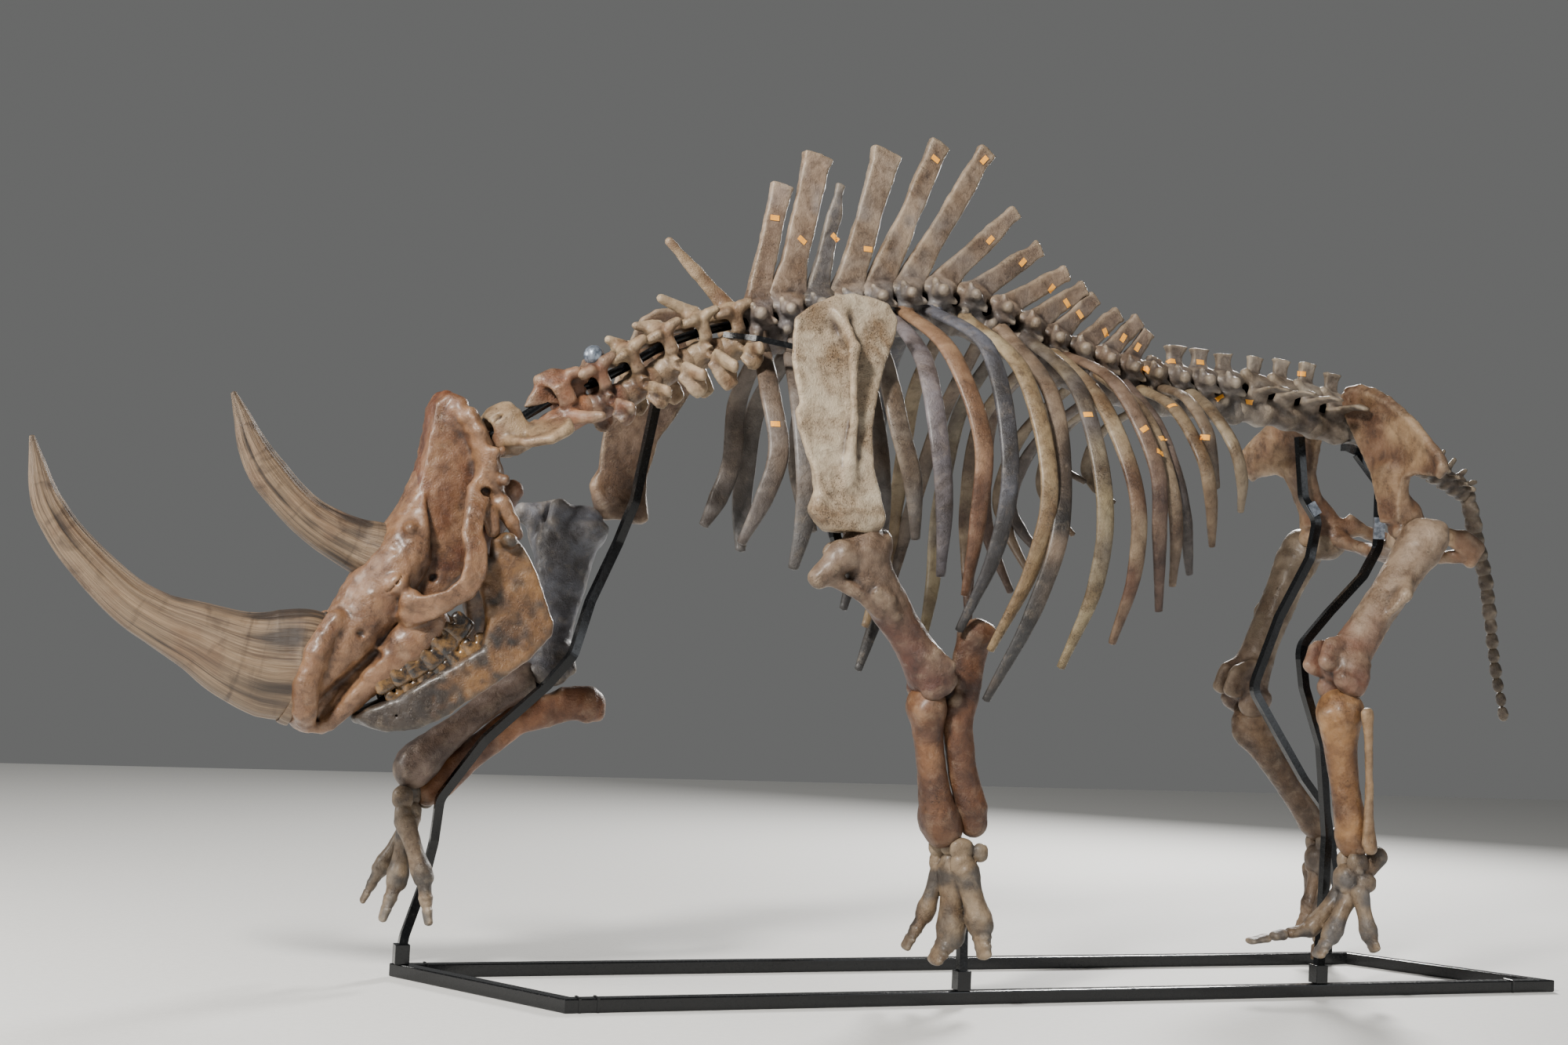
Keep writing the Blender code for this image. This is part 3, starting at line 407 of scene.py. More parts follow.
def eased(values, faces, rounds):
    """The values averaged with their neighbours, again and again."""
    ends = np.concatenate([faces[:, [0, 1]], faces[:, [1, 2]], faces[:, [2, 3]], faces[:, [3, 0]]])
    start, end = np.concatenate([ends, ends[:, ::-1]]).T
    count = np.maximum(np.bincount(start, minlength=len(values)), 1)
    values = values.reshape(len(values), -1)
    for _ in range(rounds):
        moved = [np.bincount(start, values[end, k], len(values)) / count for k in range(values.shape[1])]
        values = .35 * values + .65 * np.stack(moved, 1)
    return values


def deepened(colour):
    """The colour as it has to be painted to look right under these lights."""
    grey = sum(colour) / 3
    return tuple(max(grey + (part - grey) * SATURATION, 0) * DEPTH for part in colour)


def paint(thing, colours, weights=None, hollow=None):
    """Stores the tint: colours are blended by their weights, one per vertex."""
    mesh = thing.data
    count = len(mesh.vertices)
    colours = np.array([srgb(*deepened(colour)) for colour in colours])
    if weights is None:
        shares = np.zeros((count, len(colours)))
        shares[:, 0] = 1
    else:
        shares = np.stack([1 - weights, weights], 1)
    rgba = np.ones((count, 4), np.float32)
    rgba[:, :3] = shares @ colours
    mesh.attributes.new("tint", "FLOAT_COLOR", "POINT").data.foreach_set("color", rgba.ravel())
    deep = np.zeros(count) if hollow is None else hollow
    mesh.attributes.new("hollow", "FLOAT", "POINT").data.foreach_set("value", np.asarray(deep, np.float32))


def points_of(thing):
    verts = np.empty(len(thing.data.vertices) * 3, np.float32)
    thing.data.vertices.foreach_get("co", verts)
    return verts.reshape(-1, 3).astype(float)


# %% Clay
class Clay:
    def __init__(self, mirrored=False, cell=1.0):
        self.mirrored = mirrored
        self.cell = CELL * cell
        self.strokes = []

    def add(self, path, sizes, side=(0, 1, 0), blend=.012, cut=False):
        path = np.atleast_2d(np.asarray(path, float))
        sizes = np.broadcast_to(np.asarray(sizes, float), (len(path), 2))
        if len(path) == 1:
            path = np.vstack([path, path + (0, 0, 1e-5)])
            sizes = np.vstack([sizes, sizes])
        reach = sizes.max() + blend
        self.strokes.append((path.min(0) - reach, path.max(0) + reach, blend, cut,
                             lambda p: self.sweep(p, path, sizes, unit(side))))
        return self

    def carve(self, path, sizes, side=(0, 1, 0), blend=.008):
        return self.add(path, sizes, side, blend, True)

    def plate(self, origin, across, up, outline, thick, bulge=None, blend=.01, cut=False, round_by=.006):
        """A flat bone: outline in metres along across and up, bulge(u, v) its height off the plane."""
        origin, across, up = np.asarray(origin, float), unit(across), unit(up)
        normal = np.cross(across, up)
        outline = np.asarray(outline, float)
        corners = np.array([origin + across * u + up * v + normal * h for u, v in outline
                            for h in ((bulge(u, v) if bulge else 0) + s * .03 for s in (-1, 1))])
        self.strokes.append((corners.min(0) - blend, corners.max(0) + blend, blend, cut,
                             lambda p: self.slab(p, origin, across, up, normal, outline, thick, bulge,
                                     round_by)))
        return self

    @staticmethod
    def sweep(p, path, sizes, side):
        nearest = None
        for a, b, low, high in zip(path, path[1:], sizes, sizes[1:]):
            length = max(np.linalg.norm(b - a), 1e-9)
            along = (b - a) / length
            across = side - along * side.dot(along)
            if np.linalg.norm(across) < 1e-3:
                across = np.cross(along, (.3, .5, .8))
            across = unit(across)
            other = np.cross(along, across)
            q = [p[k] - a[k] for k in range(3)]
            h, u, v = (sum(q[k] * axis[k] for k in range(3)) for axis in (along, across, other))
            t = np.clip(h / length, 0, 1)
            h = h - t * length
            ru = low[0] + (high[0] - low[0]) * t
            rv = low[1] + (high[1] - low[1]) * t
            rh = np.minimum(ru, rv)
            k0 = np.sqrt((u / ru) ** 2 + (v / rv) ** 2 + (h / rh) ** 2) + 1e-6
            k1 = np.sqrt((u / ru ** 2) ** 2 + (v / rv ** 2) ** 2 + (h / rh ** 2) ** 2) + 1e-4
            distance = k0 * (k0 - 1) / k1
            nearest = distance if nearest is None else soft_min(nearest, distance, .004)
        return nearest

    @staticmethod
    def slab(p, origin, across, up, normal, outline, thick, bulge, round_by):
        q = [p[k] - origin[k] for k in range(3)]
        u, v, w = (sum(q[k] * axis[k] for k in range(3)) for axis in (across, up, normal))
        nearest = np.full(np.broadcast(u, v).shape, 1e9)
        inside = np.zeros(nearest.shape, bool)
        for (ax, ay), (bx, by) in zip(outline, np.roll(outline, -1, 0)):
            ex, ey = bx - ax, by - ay
            px, py = u - ax, v - ay
            t = np.clip((px * ex + py * ey) / (ex * ex + ey * ey + 1e-12), 0, 1)
            nearest = np.minimum(nearest, (px - ex * t) ** 2 + (py - ey * t) ** 2)
            crosses = (ay > v) != (by > v)
            slope = ex / ey if abs(ey) > 1e-9 else 0.0
            inside ^= crosses & (px < slope * py)
        edge = np.sqrt(nearest) * np.where(inside, -1, 1)
        if bulge:
            w = w - bulge(u, v)
        half = thick(u, v) if callable(thick) else thick
        du = edge + round_by
        dw = np.abs(w) - half + round_by
        return (np.minimum(np.maximum(du, dw), 0) - round_by
                + np.sqrt(np.maximum(du, 0) ** 2 + np.maximum(dw, 0) ** 2))

    def fired(self, name, colours, weigh=None, rough=1.0, material=BONE, seed=1, ease=2):
        cell = self.cell
        solid = [stroke for stroke in self.strokes if not stroke[3]]
        low = np.min([stroke[0] for stroke in solid], 0) - 2 * cell
        high = np.max([stroke[1] for stroke in solid], 0) + 2 * cell
        if self.mirrored:
            high[1] = 0.0
        start = np.floor(low / cell).astype(int)
        count = np.ceil(high / cell).astype(int) - start + 1
        axes = [(start[k] + np.arange(count[k])) * cell for k in range(3)]
        field = np.full(count, 1.0)
        for box_low, box_high, blend, cut, measure in self.strokes:
            first = np.maximum(np.floor((box_low - 2 * cell) / cell).astype(int) - start, 0)
            last = np.minimum(np.ceil((box_high + 2 * cell) / cell).astype(int) - start + 1, count)
            if (last <= first).any():
                continue
            where = tuple(slice(first[k], last[k]) for k in range(3))
            p = [axes[k][where[k]].reshape([-1 if j == k else 1 for j in range(3)]) for k in range(3)]
            value = measure(p)
            old = field[where]
            field[where] = -soft_min(-old, value, blend) if cut else soft_min(old, value, blend)
        if self.mirrored:
            field = np.concatenate([field, field[:, -2::-1]], 1)
        verts, faces = skin(field, start * cell, cell)
        verts = eased(verts, faces, ease)
        normals = vertex_normals(verts, faces)
        wobble = lumps(verts, .045, seed) * .0011 + lumps(verts, .014, seed + 7) * .0007
        verts = verts + normals * (wobble * rough)[:, None]
        flat = eased(verts, faces, 14)
        hollow = ((flat - verts) * normals).sum(1) / .0035
        hollow = eased(hollow, faces, 1)[:, 0]
        thing = mesh_object(name, verts, faces, material)
        weights = None if weigh is None else np.clip(weigh(verts), 0, 1)
        paint(thing, colours, weights, np.clip(hollow, -1.5, 1.5))
        return thing


def skin(field, origin, cell):
    """The surface where the field is zero: one point for each cell that it crosses, joined in squares."""
    inside = field < 0
    shape = np.array(field.shape) - 1
    total = np.zeros((*shape, 3))
    hits = np.zeros(shape)
    corners = list(np.ndindex(2, 2, 2))
    for a in corners:
        for axis in range(3):
            if a[axis]:
                continue
            b = tuple(1 if k == axis else a[k] for k in range(3))
            low = tuple(slice(a[k], a[k] + shape[k]) for k in range(3))
            high = tuple(slice(b[k], b[k] + shape[k]) for k in range(3))
            crossed = np.nonzero(inside[low] != inside[high])
            one, two = field[low][crossed], field[high][crossed]
            share = one / (one - two)
            for k in range(3):
                total[(*crossed, k)] += a[k] + (share if k == axis else 0)
            hits[crossed] += 1
    used = np.nonzero(hits)
    number = np.full(shape, -1)
    number[used] = np.arange(len(used[0]))
    verts = (np.stack(used, 1) + total[used] / hits[used][:, None]) * cell + origin
    faces = []
    for axis in range(3):
        a, b = (axis + 1) % 3, (axis + 2) % 3
        low = [slice(1, shape[k]) for k in range(3)]
        high = list(low)
        low[axis] = slice(0, shape[axis])
        high[axis] = slice(1, shape[axis] + 1)
        starts = inside[tuple(low)]
        change = np.nonzero(starts != inside[tuple(high)])
        spot = np.stack(change, 1)
        spot[:, a] += 1
        spot[:, b] += 1
        step_a, step_b = np.eye(3, dtype=int)[a], np.eye(3, dtype=int)[b]
        ring = [spot - step_a - step_b, spot - step_b, spot, spot - step_a]
        square = np.stack([number[tuple(corner.T)] for corner in ring], 1)
        turned = ~starts[change]
        square[turned] = square[turned][:, ::-1]
        faces.append(square)
    return verts, np.concatenate(faces)


# %% [markdown]
# Long thin bones and the horns are tubes with their own ring at each station.


# %% Tubes
def tube(name, path, sizes, side, sides=14, stations=48, swell=None, material=BONE, seed=1, rough=1.0):
    """A tube along a smooth path. sizes are (along side, across it) at the given points."""
    path = np.asarray(path, float)
    sizes = np.asarray(sizes, float)
    line = smooth_path(path, stations)
    spread = np.linspace(0, len(sizes) - 1, stations)
    half = np.stack([np.interp(spread, np.arange(len(sizes)), sizes[:, k]) for k in range(2)], 1)
    ahead = np.gradient(line, axis=0)
    ahead /= np.linalg.norm(ahead, axis=1, keepdims=True)
    across = side - ahead * (ahead @ side)[:, None]
    across /= np.linalg.norm(across, axis=1, keepdims=True)
    other = np.cross(ahead, across)
    turn = np.arange(sides) * 2 * pi / sides
    rings = (line[:, None] + across[:, None] * (half[:, :1] * np.cos(turn))[..., None]
             + other[:, None] * (half[:, 1:] * np.sin(turn))[..., None])
    ends = [line[0] - ahead[0] * half[0].min() * .5, line[-1] + ahead[-1] * half[-1].min() * .5]
    verts = np.vstack([rings.reshape(-1, 3), ends])
    k = np.arange(sides)
    j = (k + 1) % sides
    quads = [np.stack([i * sides + k, i * sides + j, (i + 1) * sides + j, (i + 1) * sides + k], 1)
             for i in range(stations - 1)]
    last = (stations - 1) * sides
    centre = stations * sides
    quads.append(np.stack([j, k, np.full(sides, centre), np.full(sides, centre)], 1))
    quads.append(np.stack([last + k, last + j, np.full(sides, centre + 1), np.full(sides, centre + 1)], 1))
    faces = np.concatenate(quads)
    normals = vertex_normals(verts, faces)
    length = np.r_[np.repeat(np.linspace(0, 1, stations), sides), 0, 1]
    around = np.r_[np.tile(turn, stations), 0, 0]
    hollow = np.zeros(len(verts))
    if swell is not None:
        shift = swell(length, around, verts)
        verts = verts + normals * shift[:, None]
        hollow = -shift / .003
    else:
        shift = lumps(verts, .05, seed) * .0008 + lumps(verts, .01, seed + 3) * .0004
        verts = verts + normals * (shift * rough)[:, None]
    body = faces[:len(faces) - 2 * sides]
    tips = np.concatenate([faces[-2 * sides:, :3]])
    thing = mesh_object(name, verts, np.concatenate([body[:, [0, 1, 2]], body[:, [0, 2, 3]], tips]), material)
    return thing, length, around, hollow


# %% [markdown]
# ## Geometry Nodes
#
# Two node groups do the repeating work. `bar_group` runs a square or round
# profile along a bent line, for the irons. `row_group` sets copies of one small
# mesh along a line, shrinking from its start to its end, for the teeth and the
# tail. Each group ends in Realize Instances and Set Material, and the result is
# stored as a plain mesh.


# %% Bars and rows
def new_group(name, inputs):
    group = bpy.data.node_groups.new(name, "GeometryNodeTree")
    group.interface.new_socket("Geometry", in_out="INPUT", socket_type="NodeSocketGeometry")
    keys = {}
    for label, kind in inputs:
        keys[label] = group.interface.new_socket(label, in_out="INPUT", socket_type=kind).identifier
    group.interface.new_socket("Geometry", in_out="OUTPUT", socket_type="NodeSocketGeometry")
    start = group.nodes.new("NodeGroupInput")
    end = group.nodes.new("NodeGroupOutput")

    def put(kind, links=(), **values):
        node = group.nodes.new(kind)
        for key, value in values.items():
            if key.startswith("set_"):
                setattr(node, key[4:], value)
            else:
                node.inputs[key.replace("_", " ")].default_value = value
        for socket, source in links:
            group.links.new(source, node.inputs[socket])
        return node

    def close(geometry):
        whole = put("GeometryNodeRealizeInstances", [("Geometry", geometry)])
        final = put("GeometryNodeSetMaterial", [("Geometry", whole.outputs[0]),
                ("Material", start.outputs["Material"])])
        group.links.new(final.outputs[0], end.inputs[0])

    return group, keys, start, put, close


def make_bar_group():
    group, keys, start, put, close = new_group("bar_along_line", [
        ("Half side", "NodeSocketFloat"), ("Bend radius", "NodeSocketFloat"), ("Sides", "NodeSocketInt"),
        ("Material", "NodeSocketMaterial")])
    line = put("GeometryNodeMeshToCurve", [("Mesh", start.outputs[0])])
    bent = put("GeometryNodeFilletCurve", [("Curve", line.outputs[0]), ("Radius",
            start.outputs["Bend radius"])],
               Limit_Radius=True)
    bent.mode = "POLY"
    bent.inputs["Count"].default_value = 5
    profile = put("GeometryNodeCurvePrimitiveCircle", [("Resolution", start.outputs["Sides"]),
                                                       ("Radius", start.outputs["Half side"])])
    turned = put("GeometryNodeTransform", [("Geometry", profile.outputs[0])], Rotation=(0, 0, pi / 4))
    solid = put("GeometryNodeCurveToMesh", [("Curve", bent.outputs[0]), ("Profile Curve", turned.outputs[0])],
                Fill_Caps=True)
    close(solid.outputs[0])
    return group, keys


def make_row_group():
    group, keys, start, put, close = new_group("row_along_line", [
        ("Piece", "NodeSocketObject"), ("First size", "NodeSocketFloat"), ("Last size", "NodeSocketFloat"),
        ("Count", "NodeSocketInt"), ("Seed", "NodeSocketInt"), ("Material", "NodeSocketMaterial")])
    line = put("GeometryNodeMeshToCurve", [("Mesh", start.outputs[0])])
    spots = put("GeometryNodeResampleCurve", [("Curve", line.outputs[0]), ("Count", start.outputs["Count"])])
    piece = put("GeometryNodeObjectInfo", [("Object", start.outputs["Piece"])],
            set_transform_space="RELATIVE")
    tangent = put("GeometryNodeInputTangent")
    aligned = put("FunctionNodeAlignRotationToVector", [("Vector", tangent.outputs[0])], set_axis="X",
                  set_pivot_axis="Y")
    along = put("GeometryNodeSplineParameter")
    size = put("ShaderNodeMapRange", [("Value", along.outputs["Factor"]),
            ("To Min", start.outputs["First size"]),
                                      ("To Max", start.outputs["Last size"])])
    chance = put("FunctionNodeRandomValue", [("Seed", start.outputs["Seed"])], set_data_type="FLOAT")
    floats = [socket for socket in chance.inputs if socket.type == "VALUE"]
    floats[0].default_value = .92
    floats[1].default_value = 1.08
    varied = put("ShaderNodeMath", set_operation="MULTIPLY")
    group.links.new(size.outputs[0], varied.inputs[0])
    group.links.new([socket for socket in chance.outputs if socket.type == "VALUE"][0], varied.inputs[1])
    placed = put("GeometryNodeInstanceOnPoints", [
        ("Points", spots.outputs[0]), ("Instance", piece.outputs["Geometry"]),
        ("Rotation", aligned.outputs[0]), ("Scale", varied.outputs[0])])
    close(placed.outputs[0])
    return group, keys


BAR_GROUP = make_bar_group()
ROW_GROUP = make_row_group()


def along_line(name, points, group_and_keys, material, smooth=False, **values):
    """Runs a node group on a line of points and keeps the result as a plain mesh."""
    group, keys = group_and_keys
    line = bpy.data.meshes.new(name)
    line.from_pydata([tuple(point) for point in points], [(i, i + 1) for i in range(len(points) - 1)], [])
    guide = bpy.data.objects.new(name + "_line", line)
    bpy.context.scene.collection.objects.link(guide)
    modifier = guide.modifiers.new("make", "NODES")
    modifier.node_group = group
    modifier[keys["Material"]] = material
    for label, value in values.items():
        modifier[keys[label.replace("_", " ")]] = value
    bpy.context.view_layer.update()
    mesh = bpy.data.meshes.new_from_object(guide.evaluated_get(bpy.context.evaluated_depsgraph_get()))
    bpy.data.objects.remove(guide)
    mesh.polygons.foreach_set("use_smooth", [smooth] * len(mesh.polygons))
    thing = bpy.data.objects.new(name, mesh)
    bpy.context.scene.collection.objects.link(thing)
    return thing


def standing_for(thing, *nodes, slot=None):
    """Every piece rides on the one body, and stands for the solids that it covers."""
    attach(thing, "root")
    if nodes:
        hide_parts(*nodes)
    return thing


# %% [markdown]
# ## Head
#
# The skull is one long tapering stroke from the crest down to the snout. The
# cheek teeth sit in a thicker bar below it. The hollows for the jaw muscle, the
# eye and the nose are carved before the cheek arch is laid over them, so the
# arch stands free of the skull as it does on the real one.

# %% Skull
skull = Clay(mirrored=True, cell=.8)
skull.add([(-1.31, 0, .585), (-1.285, 0, .66), (-1.228, 0, .738), (-1.175, 0, .825), (-1.13, 0, .905),
           (-1.085, 0, .985), (-1.04, 0, 1.07), (-1.022, 0, 1.15), (-1.035, 0, 1.24)],
          [(.040, .028), (.064, .050), (.076, .062), (.088, .070), (.098, .072), (.096, .066), (.078, .068),
           (.070, .064), (.072, .038)])
skull.add([(-1.25, -.012, .572), (-1.205, -.026, .628), (-1.155, -.040, .685), (-1.105, -.052, .735),
           (-1.055, -.055, .795)],
          [(.020, .020), (.026, .030), (.034, .038), (.036, .044), (.034, .044)])
skull.add([(-1.0, 0, 1.225), (-.958, 0, 1.13), (-.93, 0, 1.045)], [(.108, .030), (.122, .036), (.085, .036)])
skull.add([(-.905, 0, 1.03), (-.98, 0, .95), (-1.06, 0, .86)], [(.040, .026), (.056, .044), (.060, .060)])
BRAIN_CASE = [(-1.07, 1.258), (-1.048, 1.274), (-1.02, 1.258), (-.985, 1.228), (-.955, 1.18), (-.946, 1.11),
              (-.95, 1.05), (-.97, .985), (-1.0, .900), (-1.06, .858), (-1.125, .880), (-1.122, .960),
              (-1.112, 1.01), (-1.098, 1.06), (-1.09, 1.11), (-1.082, 1.18)]
skull.plate((0, 0, 0), (1, 0, 0), (0, 0, 1), BRAIN_CASE,
            lambda u, v: np.interp(v, [.86, 1.0, 1.1, 1.2, 1.27], [.106, .112, .110, .104, .072]),
            blend=.020, round_by=.022)
TEMPLE = [(-1.066, 1.178), (-1.048, 1.205), (-1.028, 1.202), (-1.01, 1.186), (-.996, 1.155), (-.988, 1.11),
          (-.988, 1.05), (-1.0, .985), (-1.01, .930), (-1.04, .905), (-1.068, .925), (-1.078, .985),
          (-1.084, 1.04), (-1.082, 1.1), (-1.076, 1.144)]
skull.plate((0, 0, 0), (1, 0, 0), (0, 0, 1), TEMPLE, .068, lambda u, v: .118 + 0 * u, blend=.014, cut=True,
        round_by=.026)
EYE = [(-1.086, .905), (-1.052, .924), (-1.018, .915), (-1.006, .872), (-1.014, .838), (-1.05, .830),
       (-1.086, .842)]
skull.plate((0, 0, 0), (1, 0, 0), (0, 0, 1), EYE, .060, lambda u, v: .124 + 0 * u, blend=.008, cut=True,
        round_by=.020)
skull.carve([(-1.057, -.060, .885), (-1.057, -.100, .887)], [(.010, .010)] * 2, blend=.004)
skull.carve([(-.985, -.110, .96), (-1.0, -.125, .9), (-1.02, -.125, .82)], [(.040, .028)] * 3, blend=.014)
skull.carve([(-1.292, -.055, .59), (-1.235, -.062, .65), (-1.172, -.075, .716)],
            [(.048, .012), (.046, .017), (.040, .013)], blend=.005)
skull.carve([(-1.262, -.060, .583), (-1.205, -.066, .668)], [(.040, .008), (.038, .013)], blend=.006)
skull.add([(-1.05, 0, 1.268), (-1.036, -.046, 1.262), (-1.014, -.082, 1.228)],
          [(.020, .022), (.016, .020), (.012, .014)], side=(1, 0, 0))
skull.plate((0, 0, 0), (1, 0, 0), (0, 0, 1), [(-1.3, .588), (-1.18, .735), (-1.15, .690), (-1.24, .574)],
        .012)
skull.add([(-1.14, -.092, .866)], [(.022, .024)]).add([(-1.108, -.100, .835)], [(.022, .024)])
CHEEK = [(-1.122, .838), (-1.086, .846), (-1.048, .860), (-1.02, .884), (-1.014, .930), (-1.022, .985),
        (-1.012, 1.03),
         (-1.0, 1.085), (-.975, 1.12), (-.95, 1.08), (-.97, 1.02), (-.976, .985), (-.966, .945),
         (-.968, .890), (-.99, .848), (-1.03, .816), (-1.075, .790), (-1.112, .778), (-1.135, .800)]
skull.plate((0, 0, 0), (1, 0, 0), (0, 0, 1), CHEEK, lambda u, v: np.interp(v, [.80, .90, 1.0, 1.08],
        [.017, .011, .012, .018]),
            lambda u, v: np.interp(v, [.78, .84, .90, .96, 1.02, 1.09], [.108, .140, .160, .152, .126, .086])
            - np.clip(-1.06 - u, 0, .1) * .6, blend=.014, round_by=.008)
skull.add([(-.925, -.082, 1.05), (-.9, -.082, 1.015), (-.884, -.074, .985)],
          [(.020, .022), (.018, .017), (.012, .012)])
skull.add([(-.955, -.100, 1.03), (-.945, -.104, .99)], [(.018, .020), (.014, .014)])
skull.add([(-.905, -.034, 1.065), (-.888, -.036, 1.085)], [(.024, .026), (.022, .024)])
skull.carve([(-.87, 0, 1.105), (-.96, 0, 1.115)], [(.020, .020)] * 2, blend=.006)
skull.carve([(-.966, -.100, 1.07)], [(.020, .013)], blend=.006)
skull.carve([(-1.048, -.085, 1.142)], [(.020, .006)], blend=.004)
skull.carve([(-1.205, -.082, .76)], [(.014, .012)], blend=.006)
skull.add([(-1.255, -.058, .785), (-1.292, -.064, .715), (-1.308, -.064, .65), (-1.306, -.050, .595),
           (-1.298, -.014, .568)],
          [(.024, .022), (.026, .026), (.026, .028), (.026, .026), (.024, .020)])
skull.add([(-1.29, 0, .56), (-1.262, 0, .556)], [(.024, .012), (.020, .012)])
for x, y, z, size in ((-1.02, -.062, 1.262, .013), (-1.045, -.025, 1.276, .012), (-.985, -.108, 1.2, .013),
                      (-.952, -.112, 1.158, .012), (-.93, -.110, 1.1, .013), (-1.005, -.084, 1.24, .012),
                      (-.935, -.060, 1.12, .012), (-.93, -.075, 1.165, .011), (-1.118, -.090, .985, .014)):
    skull.add([(x, y, z)], [(size, size)], blend=.012)
skull.carve([(-1.252, -.098, .8), (-1.209, -.104, .822), (-1.154, -.112, .853), (-1.128, -.120, .888)],
            [(.024, .0022)] * 4, side=(0, 1, 0), blend=.003)
skull_piece = skull.fired("head", [(166, 126, 92), (116, 66, 34)], rough=2.4, material=SKULL_BONE, seed=3,
                          weigh=lambda p: np.clip(1.3 - np.abs(p[:, 1]) / .075, 0,
                                  1) * (p[:, 2] > .9) * (p[:, 0] > -1.1)
                          + .4 * lumps(p, .05, 9) + .3 * lumps(p, .015, 6))
standing_for(skull_piece, "skull", slot="skull_bone")
print("skull", len(skull_piece.data.polygons))

# %% [markdown]
# The lower jaw is a flat bone: its outline seen from the side is given a
# thickness and bent so that the two halves meet at the chin.


# %% Lower jaw
def jaw_side(u, v):
    return np.interp(u, [-1.2, -1.1, -.95, -.86, -.8], [.026, .056, .092, .114, .122])


def jaw_thickness(u, v):
    return np.interp(u, [-1.2, -1.05, -.92, -.86], [.022, .026, .018, .014])


JAW_OUTLINE = [(-.944, .974), (-.915, .981), (-.892, .974), (-.868, .942), (-.843, .897), (-.827, .851),
               (-.806, .805), (-.81, .775), (-.855, .722), (-.92, .668), (-1.01, .600), (-1.073, .567),
               (-1.136, .556), (-1.174, .566), (-1.196, .584), (-1.18, .603), (-1.125, .628), (-1.04, .686),
               (-.955, .742), (-.948, .800), (-.965, .870), (-.978, .945), (-.966, .966), (-.948, .935)]
jaw = Clay(mirrored=True, cell=.9)
jaw.plate((0, 0, 0), (1, 0, 0), (0, 0, 1), JAW_OUTLINE, jaw_thickness, jaw_side, round_by=.013)
jaw.add([(-.918, -.105, .972), (-.916, -.132, .972)], [(.016, .016)] * 2, side=(1, 0, 0))
jaw.add([(-1.19, 0, .583), (-1.13, 0, .580), (-1.06, 0, .606)], [(.030, .014), (.040, .018), (.045, .014)])
jaw.carve([(-.88, -.140, .860), (-.885, -.136, .790)], [(.006, .024), (.006, .028)], blend=.018)
jaw.carve([(-1.12, -.062, .592)], [(.012, .006)], blend=.004)
jaw_piece = jaw.fired("lower_jaw", [(146, 106, 62), (62, 48, 36)], seed=5, rough=2.0, material=SKULL_BONE,
                      weigh=lambda p: (-.90 - p[:, 0]) * 5 + .2 + .8 * lumps(p, .040, 12) + .6 * lumps(p,
                              .014, 2))
standing_for(jaw_piece, "mandible", slot="brown_bone")

# %% [markdown]
# Cheek teeth repeat along a curve, so they are a row: one ridged tooth block,
# modelled once, is set along each jaw by Geometry Nodes and grows to the rear.

# %% Teeth
tooth = Clay(cell=.6)
tooth.add([(-.010, 0, -.014), (-.010, 0, .012)], [(.009, .013), (.008, .012)])
tooth.add([(.010, 0, -.014), (.010, 0, .010)], [(.008, .012), (.007, .011)])
tooth.carve([(-.002, -.014, .014), (.004, .014, .014)], [(.004, .006)] * 2, blend=.003)
tooth_block = tooth.fired("tooth_block", [(200, 160, 110)], material=TEETH, seed=4, rough=.5)
for side in (NEAR, FAR):
    upper = [(-1.148, side * .058, .662), (-1.1, side * .068, .690), (-1.05, side * .074, .725),
             (-1.005, side * .076, .785)]
    lower = [(-1.118, side * .056, .632), (-1.05, side * .068, .682), (-.962, side * .084, .744)]
    for name, line in (("upper_teeth", upper), ("lower_teeth", lower)):
        row = along_line(f"{name}_{'near' if side < 0 else 'far'}", line, ROW_GROUP, TEETH, True,
                Piece=tooth_block,
                         First_size=1.0, Last_size=1.45, Count=6, Seed=3)
        standing_for(row, slot="brown_bone")
bpy.data.objects.remove(tooth_block)

# %% [markdown]
# ## Horns
#
# Horn of a rhinoceros is packed hair, so the skin of each horn is split into
# fibres that run from base to tip. A tube is pushed in and out by noise that is
# stretched along it, and the material repeats those fibres more finely.


# %% Horns
def horn(name, node, path, sizes, seed, deep):
    def swell(length, around, verts):
        ring = np.stack([np.cos(around), np.sin(around)], 1)
        places = np.column_stack([ring * 2.2, length * 1.8])
        fine = np.column_stack([ring * 7.0, length * 3.0])
        bands = np.column_stack([ring * .3, length * 16])
        shrink = np.clip((1 - length) * 4, .15, 1)
        return shrink * deep * (lumps(places, 1.0, seed) + .7 * lumps(fine, 1.0, seed + 1)
                                + .45 * lumps(bands, 1.0, seed + 2))

    thing, length, around, hollow = tube(name, path, sizes, (0, 1, 0), 112, 230, swell, HORN)
    paint(thing, [(290, 286, 280)], None, hollow)
    grain = np.column_stack([np.cos(around), np.sin(around), length]).astype(np.float32)
    thing.data.attributes.new("grain", "FLOAT_VECTOR", "POINT").data.foreach_set("vector", grain.ravel())
    return standing_for(thing, node, slot="horn")


